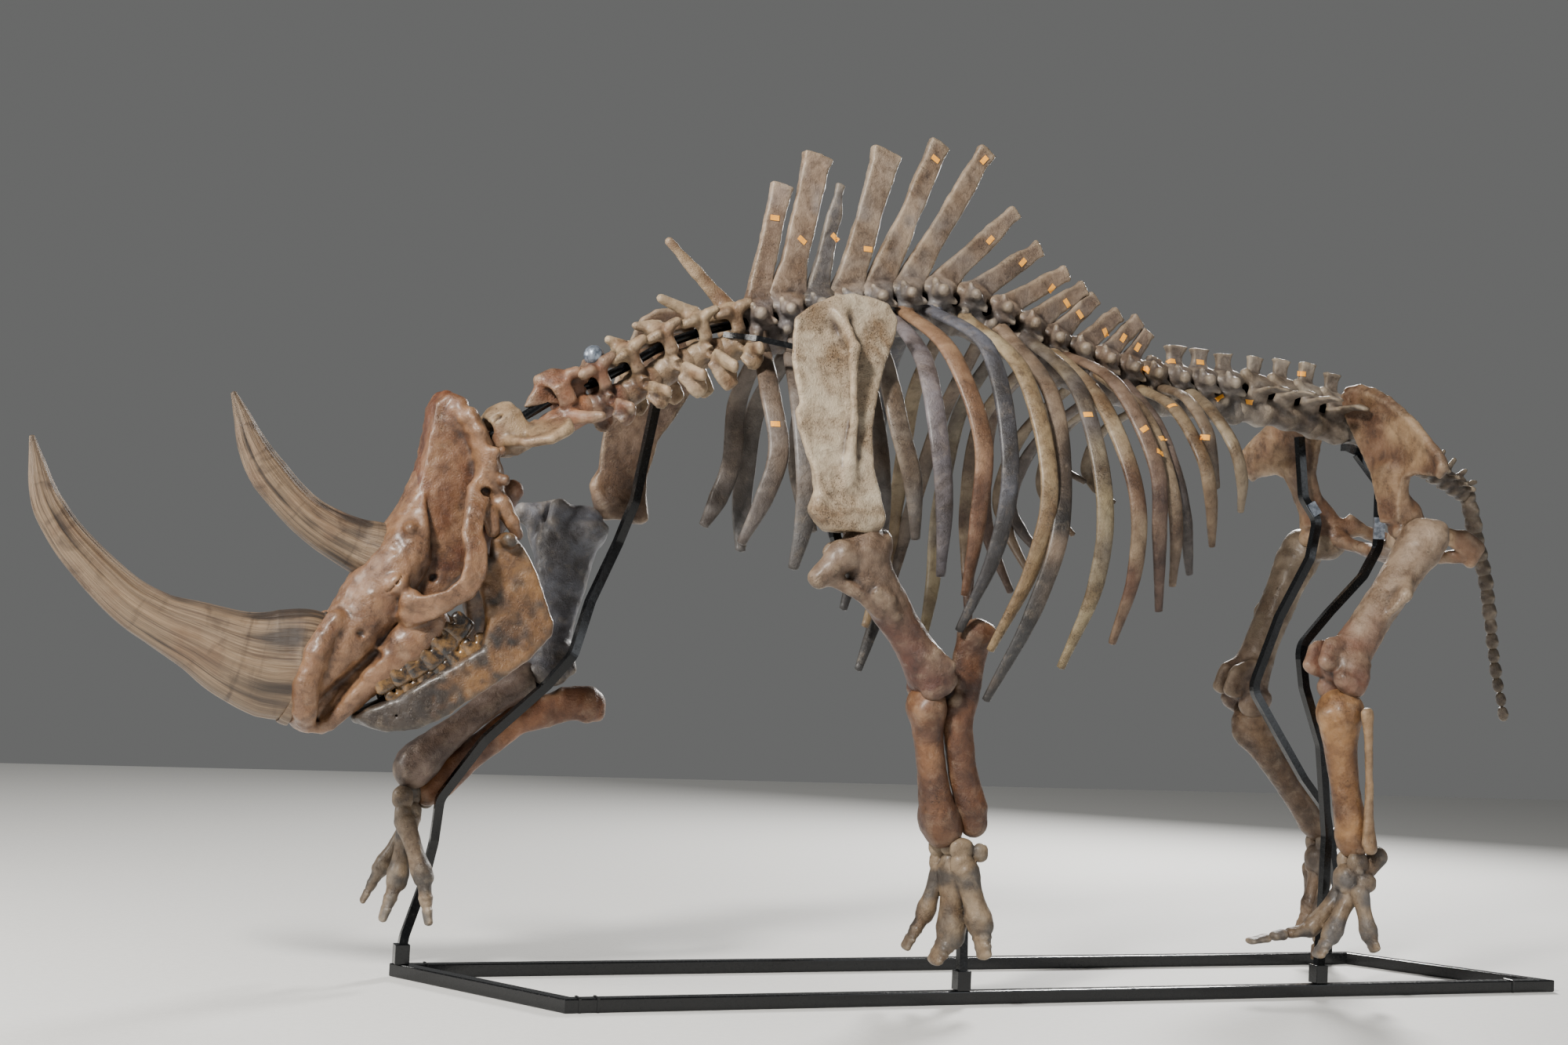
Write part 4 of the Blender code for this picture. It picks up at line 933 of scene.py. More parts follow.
horn("front_horn", "nasal_horn",
     [(-1.302, 0, .682), (-1.325, 0, .688), (-1.385, 0, .690), (-1.447, 0, .705), (-1.52, 0, .736),
      (-1.605, 0, .770), (-1.68, 0, .815), (-1.772, 0, .902), (-1.824, 0, .972), (-1.845, 0, 1.02),
      (-1.858, 0, 1.07), (-1.871, 0, 1.122)],
     [(.070, .124), (.072, .120), (.066, .112), (.060, .093), (.050, .072), (.044, .055), (.040, .047),
      (.032, .040), (.026, .033), (.020, .025), (.014, .016), (.004, .005)], 21, .0030)
horn("rear_horn", "frontal_horn",
     [(-1.146, 0, .926), (-1.175, 0, .936), (-1.218, 0, .950), (-1.28, 0, .978), (-1.337, 0, 1.016),
      (-1.4, 0, 1.08), (-1.44, 0, 1.14), (-1.466, 0, 1.2), (-1.486, 0, 1.246)],
     [(.060, .066), (.060, .064), (.052, .057), (.044, .047), (.038, .041), (.034, .041), (.027, .031),
      (.016, .017), (.005, .006)], 31, .0024)

# %% [markdown]
# ## Backbone
#
# A vertebra is built in its own frame: `at(f, u, y)` is a point f metres towards
# the tail, u metres up and y metres out from the middle of its body. The body is
# a drum, and a ring of bone stands on it round the canal that the steel rod runs
# through. Joint knobs, side wings and the tall spine are laid on that ring.


# %% Vertebra frame
class Place:
    def __init__(self, middle, ahead):
        self.middle = np.array([middle[0], 0, middle[1]], float)
        self.ahead = unit((ahead[0], 0, ahead[1]))
        self.up = np.array([-self.ahead[2], 0, self.ahead[0]])

    def at(self, f, u, y=0.0):
        return self.middle + self.ahead * f + self.up * u + np.array([0, y, 0])

    def line(self, *points):
        return [self.at(*point) for point in points]

    def along(self, x, z):
        """The frame's own f and u for a point given in the world."""
        step = np.array([x, 0, z]) - self.middle
        return step @ self.ahead, step @ self.up


def canal_ring(clay, p, rise, wide, deep, thick):
    """The ring of bone round the canal."""
    clay.add(p.line((0, rise - .036, -.016), (0, rise - .018, -wide), (0, rise + .018, -wide - .002),
                    (0, rise + .036, -wide * .55), (0, rise + .040, 0)),
             [(deep, thick), (deep * .8, thick), (deep * .85, thick), (deep, thick), (deep, thick)],
             side=p.ahead)
    clay.carve(p.line((-.08, rise, 0), (.08, rise, 0)), [(wide * .72, .024)] * 2, blend=.006)


# %% Neck
NECK = [(-.87, 1.185), (-.76, 1.262), (-.68, 1.3), (-.605, 1.345), (-.53, 1.395), (-.455, 1.43),
        (-.38, 1.455), (-.32, 1.476)]


def neck_place(i):
    before, after = NECK[max(i - 1, 0)], NECK[min(i + 1, 7)]
    return Place(NECK[i], (after[0] - before[0], after[1] - before[1]))


p = neck_place(0)
atlas = Clay(mirrored=True)
atlas.add(p.line((-.010, .000, 0), (-.012, .004, -.030), (-.012, .030, -.056), (-.008, .070, -.052),
                 (-.008, .092, -.026), (-.008, .096, 0)),
          [(.026, .012), (.030, .014), (.040, .018), (.036, .014), (.034, .011), (.032, .011)], side=p.ahead)
atlas.plate(p.at(.012, .030, -.045), p.ahead, unit(np.array([0, -.95, 0]) - p.up * .42),
            [(-.052, -.01), (-.050, .030), (-.030, .070), (.000, .098), (.040, .108), (.075, .098),
            (.088, .072),
             (.070, .040), (.045, .012), (.040, -.01)], .0085)
atlas.add(p.line((-.036, .026, -.075), (-.018, .010, -.120), (.030, -.012, -.142), (.078, -.016, -.130)),
          [(.010, .010), (.012, .010), (.013, .011), (.011, .010)])
atlas.add(p.line((-.046, .030, -.040), (-.030, .030, -.045)), [(.020, .026)] * 2)
atlas.carve(p.line((-.004, .060, -.085), (-.002, -.010, -.085)), [(.009, .008)] * 2, blend=.004)
atlas.carve(p.line((-.052, .088, -.048), (-.020, .080, -.052)), [(.008, .008)] * 2, blend=.004)
atlas.carve(p.line((-.09, .045, 0), (.09, .045, 0)), [(.036, .028)] * 2, blend=.006)
standing_for(atlas.fired("atlas_bone", [(196, 168, 132), (150, 104, 74)], seed=40, rough=1.7, ease=1,
                         weigh=lambda v: .25 + lumps(v, .05, 41)), "atlas", slot="pale_bone")

p = neck_place(1)
axis = Clay(mirrored=True)
axis.add(p.line((-.044, 0, 0), (.036, 0, 0)), [(.046, .034), (.036, .032)])
axis.add(p.line((-.062, .004, 0), (-.040, .004, 0)), [(.020, .018)] * 2)
canal_ring(axis, p, .052, .038, .028, .011)
axis.plate((0, 0, 0), (1, 0, 0), (0, 0, 1),
           [(-.866, 1.272), (-.858, 1.296), (-.832, 1.34), (-.812, 1.354), (-.78, 1.352), (-.742, 1.368),
            (-.722, 1.352), (-.728, 1.322), (-.775, 1.29)], .011, blend=.016)
axis.add([(-.838, 0, 1.335), (-.808, 0, 1.352), (-.772, 0, 1.352), (-.738, 0, 1.36)],
         [(.014, .012), (.018, .012), (.017, .011), (.020, .014)])
axis.add(p.line((.030, .085, -.034), (.046, .082, -.040)), [(.018, .014)] * 2)
axis.add(p.line((-.012, .0, -.040), (.020, -.020, -.074), (.036, -.026, -.088)),
         [(.012, .018), (.010, .013), (.010, .009)])
standing_for(axis.fired("axis_bone", [(166, 114, 80), (128, 88, 62)], seed=44, rough=1.8, ease=1,
                        weigh=lambda v: .4 + lumps(v, .04, 45)), "axis", slot="brown_bone")

# tip of the spine, its half depth at root and tip, how far the wings reach and hang, and the colours
NECK_FORMS = [
    ("cervical_3", (-.716, 1.392), (.020, .012), (.104, -.052), .022, [(158, 108, 78), (112, 78, 56)]),
    ("cervical_4", (-.686, 1.444), (.022, .010), (.112, -.058), .026, [(200, 176, 142), (160, 124, 92)]),
    ("cervical_5", (-.624, 1.482), (.022, .010), (.118, -.068), .046, [(204, 180, 150), (168, 134, 102)]),
    ("cervical_6", (-.567, 1.552), (.022, .010), (.122, -.078), .056, [(200, 176, 144), (158, 124, 94)]),
    ("cervical_7", (-.5535, 1.683), (.024, .012), (.108, -.030), .020, [(198, 172, 138), (150, 116, 86)]),
]
for i, (node, tip, spine, (reach, hang), blade, colours) in enumerate(NECK_FORMS, start=2):
    p = neck_place(i)
    bone = Clay(mirrored=True)
    bone.add(p.line((-.026, 0, 0), (0, 0, 0), (.024, 0, 0)), [(.038, .035), (.032, .031), (.038, .036)])
    bone.add(p.line((-.034, .002, 0)), [(.028, .027)])
    bone.carve(p.line((.046, .0, 0)), [(.026, .024)], blend=.006)
    canal_ring(bone, p, .055, .046, .020, .010)
    bone.add(p.line((-.040, .078, -.048), (-.020, .080, -.050)), [(.018, .012), (.020, .014)])
    bone.add(p.line((.016, .086, -.048), (.038, .090, -.050)), [(.020, .014), (.018, .011)])
    bone.add(p.line((-.004, .006, -.038), (.004, -.014, -.074), (.014, hang * .6, -reach)),
             [(.018, .014), (.015, .011), (.016, .010)], side=p.up)
    bone.add(p.line((-.004, -.022, -.070), (.004, -.030 - blade * .6, -.082), (.010, -.030 - blade, -.080)),
             [(.024, .008), (.026, .007), (.020, .007)], side=p.ahead)
    bone.carve(p.line((-.04, .004, -.058), (.05, .0, -.060)), [(.010, .009)] * 2, blend=.004)
    f, u = p.along(*tip)
    bone.add(p.line((.004, .092, 0), (.004 * .6 + f * .4, .092 * .6 + u * .4, 0), (f, u - .004, 0)),
             [(.012, spine[0]), (.009, (spine[0] + spine[1]) * .46), (.011, spine[1])])
    made = bone.fired(node + "_bone", colours, seed=50 + i, rough=1.7, ease=1,
                      weigh=lambda v, i=i: .4 + 1.1 * lumps(v, .035, 60 + i))
    standing_for(made, node, slot="pale_bone")

# %% [markdown]
# Each vertebra of the back has its own tall spine, measured by its tip, and its
# own pair of ribs. A rib leaves the body of the vertebra, touches the side wing
# and then sweeps round the chest, so its path has five points and its breadth
# changes along it. The right ribs end a little higher than the left ones.

# %% Back
BACK = [(-.32, 1.476), (-.067, 1.54), (.185, 1.575), (.438, 1.49), (.69, 1.44), (.943, 1.435)]
back_line = smooth_path([(x, 0, z) for x, z in BACK], 171)

# tip of the spine, half depth at root, middle and tip, half width of the tip, and the colours
SPINES = [
    ((-.288, 1.848), (.034, .023, .028), .014, [(176, 152, 132), (150, 144, 146)]),
    ((-.2, 1.93), (.050, .030, .038), .016, [(184, 160, 138), (150, 148, 152)]),
    ((-.137, 1.868), (.032, .019, .012), .008, [(122, 118, 118), (116, 114, 116)]),
    ((-.022, 1.962), (.042, .031, .037), .016, [(186, 166, 146), (140, 142, 148)]),
    ((.116, 2.002), (.038, .027, .027), .014, [(182, 160, 138), (138, 140, 146)]),
    ((.244, 2.002), (.036, .026, .024), .013, [(178, 156, 134), (140, 140, 144)]),
    ((.329, 1.864), (.034, .024, .021), .012, [(170, 148, 128), (132, 128, 128)]),
    ((.401, 1.78), (.034, .024, .022), .012, [(168, 146, 126), (128, 124, 124)]),
    ((.478, 1.729), (.034, .024, .022), .012, [(172, 148, 126), (126, 118, 114)]),
    ((.53, 1.698), (.033, .024, .022), .012, [(168, 144, 122), (120, 112, 108)]),
    ((.56, 1.678), (.032, .023, .022), .012, [(160, 138, 120), (116, 106, 100)]),
    ((.629, 1.644), (.031, .023, .022), .012, [(162, 140, 122), (112, 104, 100)]),
    ((.689, 1.635), (.030, .021, .022), .012, [(164, 142, 124), (114, 106, 102)]),
    ((.715, 1.608), (.028, .020, .020), .012, [(158, 136, 118), (110, 102, 98)]),
    ((.738, 1.546), (.024, .022, .022), .016, [(150, 130, 112), (104, 98, 94)]),
    ((.796, 1.58), (.030, .021, .032), .016, [(166, 152, 140), (118, 110, 106)]),
    ((.868, 1.582), (.030, .021, .031), .016, [(168, 156, 144), (120, 112, 108)]),
    ((.939, 1.577), (.029, .020, .027), .014, [(166, 154, 142), (118, 112, 108)]),
]

# half the width of the chest, five places seen from the side, half breadth, and the colours
RIBS = [
    (.15, [(-.32, 1.44), (-.33, 1.34), (-.32, 1.21), (-.35, 1.1), (-.39, 1.0)], .019, (150, 132, 116),
    (120, 112, 108)),
    (.20, [(-.25, 1.44), (-.27, 1.33), (-.27, 1.16), (-.27, 1.05), (-.28, .95)], .020, (146, 134, 124),
    (112, 110, 110)),
    (.24, [(-.12, 1.5), (-.13, 1.4), (-.12, 1.25), (-.10, 1.12), (-.08, 1.01)], .018, (168, 150, 132),
    (128, 122, 118)),
    (.29, [(-.08, 1.54), (-.10, 1.43), (-.09, 1.27), (-.05, 1.15), (-.02, 1.03)], .019, (176, 158, 136),
    (120, 112, 106)),
    (.33, [(.00, 1.55), (-.01, 1.43), (-.01, 1.24), (.01, 1.1), (.03, .95)], .018, (158, 150, 154),
    (112, 108, 116)),
    (.36, [(.02, 1.57), (.04, 1.46), (.08, 1.26), (.08, 1.08), (.08, .91)], .018, (192, 156, 122),
    (138, 100, 74)),
    (.38, [(.09, 1.58), (.13, 1.47), (.14, 1.22), (.12, 1.02), (.06, .83)], .017, (128, 132, 146),
    (66, 64, 66)),
    (.40, [(.18, 1.57), (.21, 1.43), (.23, 1.18), (.20, .98), (.13, .79)], .017, (210, 190, 154),
    (176, 150, 112)),
    (.41, [(.28, 1.55), (.29, 1.37), (.26, 1.09), (.20, .88), (.12, .68)], .017, (176, 152, 128),
    (60, 58, 58)),
    (.42, [(.34, 1.54), (.35, 1.4), (.36, 1.15), (.35, .95), (.30, .76)], .017, (120, 112, 108),
    (176, 160, 124)),
    (.42, [(.42, 1.51), (.41, 1.38), (.44, 1.17), (.45, .99), (.43, .82)], .016, (214, 194, 160),
    (112, 78, 56)),
    (.42, [(.45, 1.51), (.45, 1.42), (.49, 1.23), (.51, 1.07), (.55, .90)], .016, (172, 146, 124),
    (104, 78, 64)),
    (.41, [(.55, 1.47), (.53, 1.36), (.53, 1.21), (.56, 1.09), (.59, .96)], .015, (196, 176, 146),
    (134, 112, 90)),
    (.40, [(.62, 1.455), (.57, 1.34), (.56, 1.2), (.59, 1.1), (.64, .99)], .015, (150, 130, 118),
    (88, 80, 78)),
    (.38, [(.67, 1.45), (.63, 1.38), (.64, 1.26), (.67, 1.16), (.71, 1.06)], .014, (206, 186, 152),
    (150, 126, 98)),
    (.36, [(.73, 1.46), (.67, 1.41), (.66, 1.33), (.68, 1.27), (.73, 1.2)], .013, (176, 156, 132),
    (120, 104, 88)),
    (.34, [(.81, 1.46), (.75, 1.39), (.75, 1.3), (.78, 1.22), (.81, 1.15)], .013, (196, 178, 148),
    (150, 132, 108)),
]
OUT = (.16, .70, .98, .97, .84)  # how far out each of the five places lies, as a share of the half width


def rib_path(i, side):
    half, places, broad, *_ = RIBS[i]
    head = back_line[i * 10] + np.array([-.012, side * .034, .018])
    path = [head]
    for k, (share, (x, z)) in enumerate(zip(OUT, places)):
        lift = (0, 0, 0, .02, .05)[k] if side == FAR else 0
        path.append(np.array([x, side * half * share, z + lift]))
    return path


back_pieces = {}
for i, (tip, (root, middle, end), thick, colours) in enumerate(SPINES):
    centre = back_line[i * 10]
    ahead = back_line[min(i * 10 + 5, 170)] - back_line[max(i * 10 - 5, 0)]
    p = Place((centre[0], centre[2]), (ahead[0], ahead[2]))
    bone = Clay(mirrored=True)
    bone.add(p.line((-.028, 0, 0), (0, 0, 0), (.028, 0, 0)), [(.039, .038), (.032, .031), (.039, .038)])
    canal_ring(bone, p, .049, .034, .035, .010)
    bone.add(p.line((-.004, .050, -.030), (-.012, .058, -.056), (-.018, .056, -.080)),
             [(.028, .016), (.020, .013), (.014, .015)], side=p.ahead)
    bone.add(p.line((-.018, .060, -.056), (-.030, .082, -.062)), [(.012, .012), (.008, .007)])
    bone.add(p.line((-.004, .044, -.050), (.022, .034, -.062)), [(.013, .013), (.009, .008)])
    bone.add(p.line((-.020, .020, -.034), (-.026, .014, -.046)), [(.017, .018), (.012, .013)], side=p.ahead)
    bone.add(p.line((.022, .076, -.016), (.040, .074, -.020)), [(.018, .014), (.012, .010)])
    bone.add(p.line((-.022, .072, -.020), (-.036, .070, -.024)), [(.018, .014), (.014, .012)])
    bone.carve(p.line((.034, .036, -.070), (.034, .036, -.020)), [(.012, .008)] * 2, blend=.004)
    f, u = p.along(*tip)
    foot = p.at(0, .070)
    rise = np.array([tip[0], 0, tip[1]]) - foot
    height = np.linalg.norm(rise)
    edge = [(0, root), (.10, root * .92), (.28, middle * 1.12), (.50, middle), (.74, middle * 1.02),
            (.90, end * .88),
            (1, end)]
    front = [(-deep * (1 + .10 * lumps(np.array([[s * 6, i, 0]]), 1, 3)[0]), s * height) for s, deep in edge]
    rear = [(deep * (1 + .10 * lumps(np.array([[s * 6, i, 9]]), 1, 3)[0]), s * height) for s,
            deep in edge[::-1]]
    rear[0] = (rear[0][0], height * .992)
    bone.plate(foot, np.cross((0, 1, 0), rise), rise, [*front, (-end * .3, height * 1.004), *rear],
               lambda a, b, t=thick, h=height: np.interp(b / h, [0, .2, .6, .9, 1],
                       [.018, .012, .009, t * .8, t]),
               blend=.012, round_by=.005)
    node = f"thoracic_{i + 1:02d}"
    back_pieces[i] = bone.fired(node + "_bone", colours, seed=80 + i, rough=1.7, ease=1,
                                weigh=lambda v, z=centre[2]: np.clip(1.15 - (v[:, 2] - z) / .12, 0, 1)
                                + .5 * lumps(v, .04, 5))
    standing_for(back_pieces[i], node, slot="grey_bone")

# %% Ribs
ribs = {}
for i, (half, places, broad, upper, lower) in enumerate(RIBS):
    for side in (NEAR, FAR):
        path = rib_path(i, side)
        breadth = [.012, .014, 1.15 * broad, 1.3 * broad, 1.32 * broad, broad * 1.22, broad * .60]
        flat = [.010, .011, .011, .0095, .009, .009, .007]
        path = [path[0], (path[0] * .35 + path[1] * .65), *path[1:]]
        sizes = list(zip(breadth, flat))
        name = f"rib_{'left' if side < 0 else 'right'}_{i + 1:02d}"
        thing, length, around, hollow = tube(name, path, sizes, (1, 0, .15), 16, 84, None, BONE,
                100 + i * 2 + side)
        # painted shade: the ribs of the far side get the same colours, 14% darker
        grey = side == FAR
        shades = [upper, lower]
        if grey:
            shades = [tuple(.86 * c for c in upper), tuple(.86 * c for c in lower)]
        # painted shade: a dark stripe along one side of each rib, given as the hollow that the bone material darkens
        groove_shade = np.clip(1 - np.abs(np.sin(around) * 1.0 + .8) * 3, 0, 1) * .5
        paint(thing, shades, np.clip((length - .35) * 1.9 + .5 * lumps(points_of(thing), .06, 7 + i), 0, 1),
              groove_shade)
        ribs[i, side] = standing_for(thing, f"thoracic_{i + 1:02d}", slot="grey_bone")
print("ribs", len(ribs))

# %% [markdown]
# Four loin vertebrae have broad flat side wings and short square spines. The
# sacrum is several vertebrae grown into one. The tail has four larger vertebrae
# at its root and sixteen beads that hang below them and get smaller.

# %% Loins and sacrum
for i, (x, z) in enumerate([(1.02, 1.437), (1.1, 1.434), (1.18, 1.426), (1.26, 1.412)]):
    p = Place((x, z), (1, -.12))
    bone = Clay(mirrored=True)
    bone.add(p.line((-.036, 0, 0), (0, 0, 0), (.036, 0, 0)), [(.041, .036), (.033, .029), (.041, .036)])
    canal_ring(bone, p, .049, .036, .036, .010)
    bone.add(p.line((-.004, .040, -.034), (.000, .046, -.085), (.004, .044, -.135), (.008, .040, -.148)),
             [(.024, .009), (.020, .007), (.024, .007), (.016, .006)], side=p.ahead)
    bone.add(p.line((.026, .074, -.020), (.048, .078, -.026)), [(.018, .014), (.014, .012)])
    bone.add(p.line((-.026, .074, -.026), (-.044, .084, -.032)), [(.018, .014), (.014, .014)])
    top = 1.56 if i == 3 else 1.581
    f, u = p.along(x - .002, top)
    bone.plate(p.at(0, .070), p.ahead, p.up, [(-.026, 0), (-.020, .03), (-.022, u - .078), (-.026, u - .070),
                                              (.026, u - .070), (.022, u - .08), (.020, .03), (.028, 0)],
               lambda a, b: np.interp(b, [0, .04, .06, .08], [.014, .008, .009, .014]), blend=.010,
               round_by=.005)
    made = bone.fired(f"loin_{i + 1}", [(176, 164, 150), (120, 108, 98)], seed=140 + i, rough=1.7, ease=1,
                      weigh=lambda v: .45 + 1.2 * lumps(v, .04, 9))
    standing_for(made, "lumbar_vertebrae", slot="grey_bone")

sacrum = Clay(mirrored=True)
sacrum.add([(1.312, 0, 1.412), (1.36, 0, 1.414), (1.46, 0, 1.392), (1.58, 0, 1.345)],
           [(.042, .030), (.040, .028), (.032, .024), (.022, .018)])
sacrum.add([(1.33, -.035, 1.43), (1.365, -.078, 1.425), (1.4, -.076, 1.405)], [(.020, .024)] * 3,
        side=(1, 0, 0))
sacrum.add([(1.36, -.060, 1.41), (1.47, -.050, 1.388), (1.58, -.026, 1.342)],
           [(.020, .012), (.012, .009), (.008, .008)])
for x, z, tip in ((1.335, 1.435, 1.492), (1.395, 1.428, 1.48), (1.455, 1.412, 1.466), (1.515, 1.388, 1.44),
                  (1.568, 1.358, 1.402)):
    sacrum.add([(x, 0, z), (x + .008, 0, tip - .01)], [(.010, .022), (.010, .019)])
    sacrum.carve([(x + .030, -.034, z - .010), (x + .030, -.034, z - .040)], [(.008, .008)] * 2, blend=.004)
standing_for(sacrum.fired("sacrum_bone", [(122, 98, 76), (66, 54, 46)], seed=150, rough=1.3,
                          weigh=lambda v: .5 + 1.2 * lumps(v, .04, 19)), "sacrum", slot="brown_bone")

# %% Tail
bead = Clay(mirrored=True, cell=.8)
bead.add([(-.009, 0, 0), (0, 0, 0), (.009, 0, 0)], [(.0130, .0130), (.0095, .0095), (.0130, .0130)])
bead.add([(0, -.008, 0), (.002, -.018, 0)], [(.006, .005), (.004, .004)])
bead.add([(.0, 0, .008), (.003, 0, .016)], [(.005, .006), (.003, .005)])
bead_piece = bead.fired("tail_bone", [(104, 90, 78), (70, 60, 52)], seed=160, rough=.5,
                        weigh=lambda v: .5 + lumps(v, .02, 8))
TAIL = [(1.725, 1.272), (1.742, 1.225), (1.76, 1.16), (1.778, 1.105), (1.795, 1.05), (1.806, .995),
        (1.816, .935), (1.824, .880), (1.834, .825), (1.845, .775), (1.857, .735), (1.866, .695)]
tail_row = along_line("tail_beads", smooth_path([(x, 0, z) for x, z in TAIL], 48), ROW_GROUP, BONE, True,
                      Piece=bead_piece, First_size=1.6, Last_size=.95, Count=16, Seed=2)
standing_for(tail_row, "tail", slot="dark_bone")
bpy.data.objects.remove(bead_piece)
tail_root = Clay(mirrored=True)
for k, (x, z) in enumerate(((1.606, 1.327), (1.64, 1.314), (1.672, 1.3), (1.7, 1.29))):
    p = Place((x, z), ((1, -.45), (1, -.55), (1, -.8), (1, -1.5))[k])
    size = 1.35 - .08 * k
    tail_root.add(p.line((-.013, 0, 0), (0, 0, 0), (.013, 0, 0)),
                  [(.024 * size, .022 * size), (.018 * size, .016 * size), (.023 * size, .021 * size)],
                  blend=.002)
    tail_root.add(p.line((0, 0, -.014), (.006, .0, -.048 * size)), [(.012, .008), (.008, .006)], side=p.ahead)
    tail_root.add(p.line((0, .014, 0), (.012, .052 * size, 0)), [(.006, .012), (.006, .008)])
standing_for(tail_root.fired("tail_root", [(104, 90, 76), (72, 62, 54)], seed=170, rough=.8,
                             weigh=lambda v: .5 + lumps(v, .03, 8)), "tail", slot="dark_bone")

# %% [markdown]
# ## Pelvis
#
# Each half of the pelvis starts as a wide fan, cut from its outline, that
# narrows to a neck. A thick rough rim is laid along the edge of the fan. Below
# the neck come the cup of the hip joint and the two bars that enclose the
# opening, one to the seat and one to the middle.


# %% Pelvis
def wing_bend(u, v):
    return -np.interp(u, [.04, .12, .20, .29, .37], [-.022, -.004, .006, .010, .008])


def wing_thickness(u, v):
    return np.interp(v, [-.25, -.08, .02, .10], [.020, .009, .0075, .010])


WING = [(.042, .105), (.075, .116), (.120, .104), (.165, .082), (.205, .056), (.250, .022), (.300, -.020),
        (.345, -.062), (.372, -.094), (.374, -.120), (.352, -.132), (.305, -.126), (.262, -.120),
        (.228, -.126),
        (.215, -.150), (.205, -.190), (.205, -.235), (.135, -.235), (.128, -.180), (.112, -.110),
        (.085, -.050),
        (.055, .020), (.036, .070)]
hips = Clay(mirrored=True)
hips.plate((1.316, 0, 1.4), (0, -1, 0), (-.15, 0, 1), WING, wing_thickness, wing_bend, blend=.020)
rim = [(1.292, -.048, 1.508), (1.3, -.085, 1.512), (1.31, -.125, 1.5), (1.318, -.175, 1.474),
       (1.326, -.220, 1.442), (1.332, -.265, 1.404), (1.33, -.310, 1.362), (1.332, -.350, 1.322),
       (1.332, -.366, 1.295), (1.334, -.356, 1.274)]
hips.add(rim, [(.011, .012), (.012, .012), (.010, .011), (.010, .011), (.009, .010), (.009, .010),
        (.010, .011),
               (.012, .012), (.012, .012), (.010, .010)], side=(1, 0, 0), blend=.010)
hips.add([(1.33, -.168, 1.3), (1.352, -.166, 1.24), (1.388, -.168, 1.19), (1.396, -.165, 1.16)],
         [(.040, .020), (.036, .024), (.042, .040), (.044, .050)], blend=.020)
hips.add([(1.395, -.192, 1.14)], [(.034, .060)], blend=.016)
hips.carve([(1.394, -.222, 1.132)], [(.044, .044)], blend=.010)
hips.add([(1.395, -.138, 1.168), (1.48, -.124, 1.168), (1.56, -.130, 1.146), (1.622, -.136, 1.124)],
         [(.024, .034), (.017, .018), (.015, .022), (.016, .034)])
hips.add([(1.6, -.142, 1.15), (1.64, -.140, 1.122), (1.632, -.128, 1.084)],
        [(.018, .016), (.020, .022), (.018, .016)])
hips.add([(1.395, -.150, 1.152), (1.418, -.085, 1.122), (1.434, -.012, 1.106)],
         [(.030, .028), (.024, .016), (.028, .018)], side=(1, 0, 0))
hips.add([(1.434, -.022, 1.102), (1.52, -.046, 1.086), (1.606, -.114, 1.1)],
         [(.024, .014), (.022, .011), (.018, .020)])
hips.add([(1.47, -.118, 1.18), (1.44, -.124, 1.196)], [(.008, .012), (.010, .016)])
hips_piece = hips.fired("pelvis_bone", [(190, 158, 122), (140, 104, 76)], seed=180, rough=1.5, ease=1,
                        weigh=lambda v: .35 + 1.3 * lumps(v, .07, 3) + .5 * (v[:, 2] < 1.28))
verts = points_of(hips_piece)
far = np.clip(verts[:, 1] - .05, 0, None) * np.clip((verts[:, 2] - 1.2) / .1, 0, 1)
verts[:, 2] += .18 * far  # the right wing stands higher and further forwards than the left one
verts[:, 0] -= .22 * far
hips_piece.data.vertices.foreach_set("co", verts.astype(np.float32).ravel())
hips_piece.data.update()
standing_for(hips_piece, "pelvis", slot="pale_bone")

# %% [markdown]
# ## Limbs
#
# A limb bone is placed between its joints. `at(s, front, out)` is a point a
# share s of the way down, so many metres forwards and outwards of the axis.
# Shafts are thin strokes, joint ends are thick ones, and the hollows between
# their knuckles are carved.


# %% Limb frame
class Limb:
    def __init__(self, top, end, side):
        self.top = np.array(top, float)
        self.down = np.array(end, float) - self.top
        along = unit(self.down)
        ahead = np.array([-1.0, 0, 0])
        self.front = unit(ahead - along * along.dot(ahead))
        outward = np.array([0, side, 0.0])
        self.out = unit(outward - along * along.dot(outward) - self.front * outward.dot(self.front))

    def at(self, s, front=0.0, out=0.0):
        return self.top + self.down * s + self.front * front + self.out * out

    def lay(self, clay, stations, blend=.014, cut=False, side=None):
        """Each station is share, front, out, half depth, half width."""
        return clay.add([self.at(*station[:3]) for station in stations],
                [station[3:] for station in stations],
                        self.front if side is None else side, blend, cut)

    def share(self, verts):
        return (verts - self.top) @ self.down / self.down.dot(self.down)


LEFT_FORELEG = [(-.18, -.3, 1.0), (.026, -.279, .71), (.11, -.24, .375)]
RIGHT_FORELEG = [(-.655, .285, 1.045), (-.712, .251, .682), (-1.015, .247, .425)]
LEFT_HINDLEG = [(1.397, -.175, 1.127), (1.109, -.27, .752), (1.19, -.255, .352)]
RIGHT_HINDLEG = [(1.397, .175, 1.127), (1.2, .258, .69), (1.463, .235, .35)]

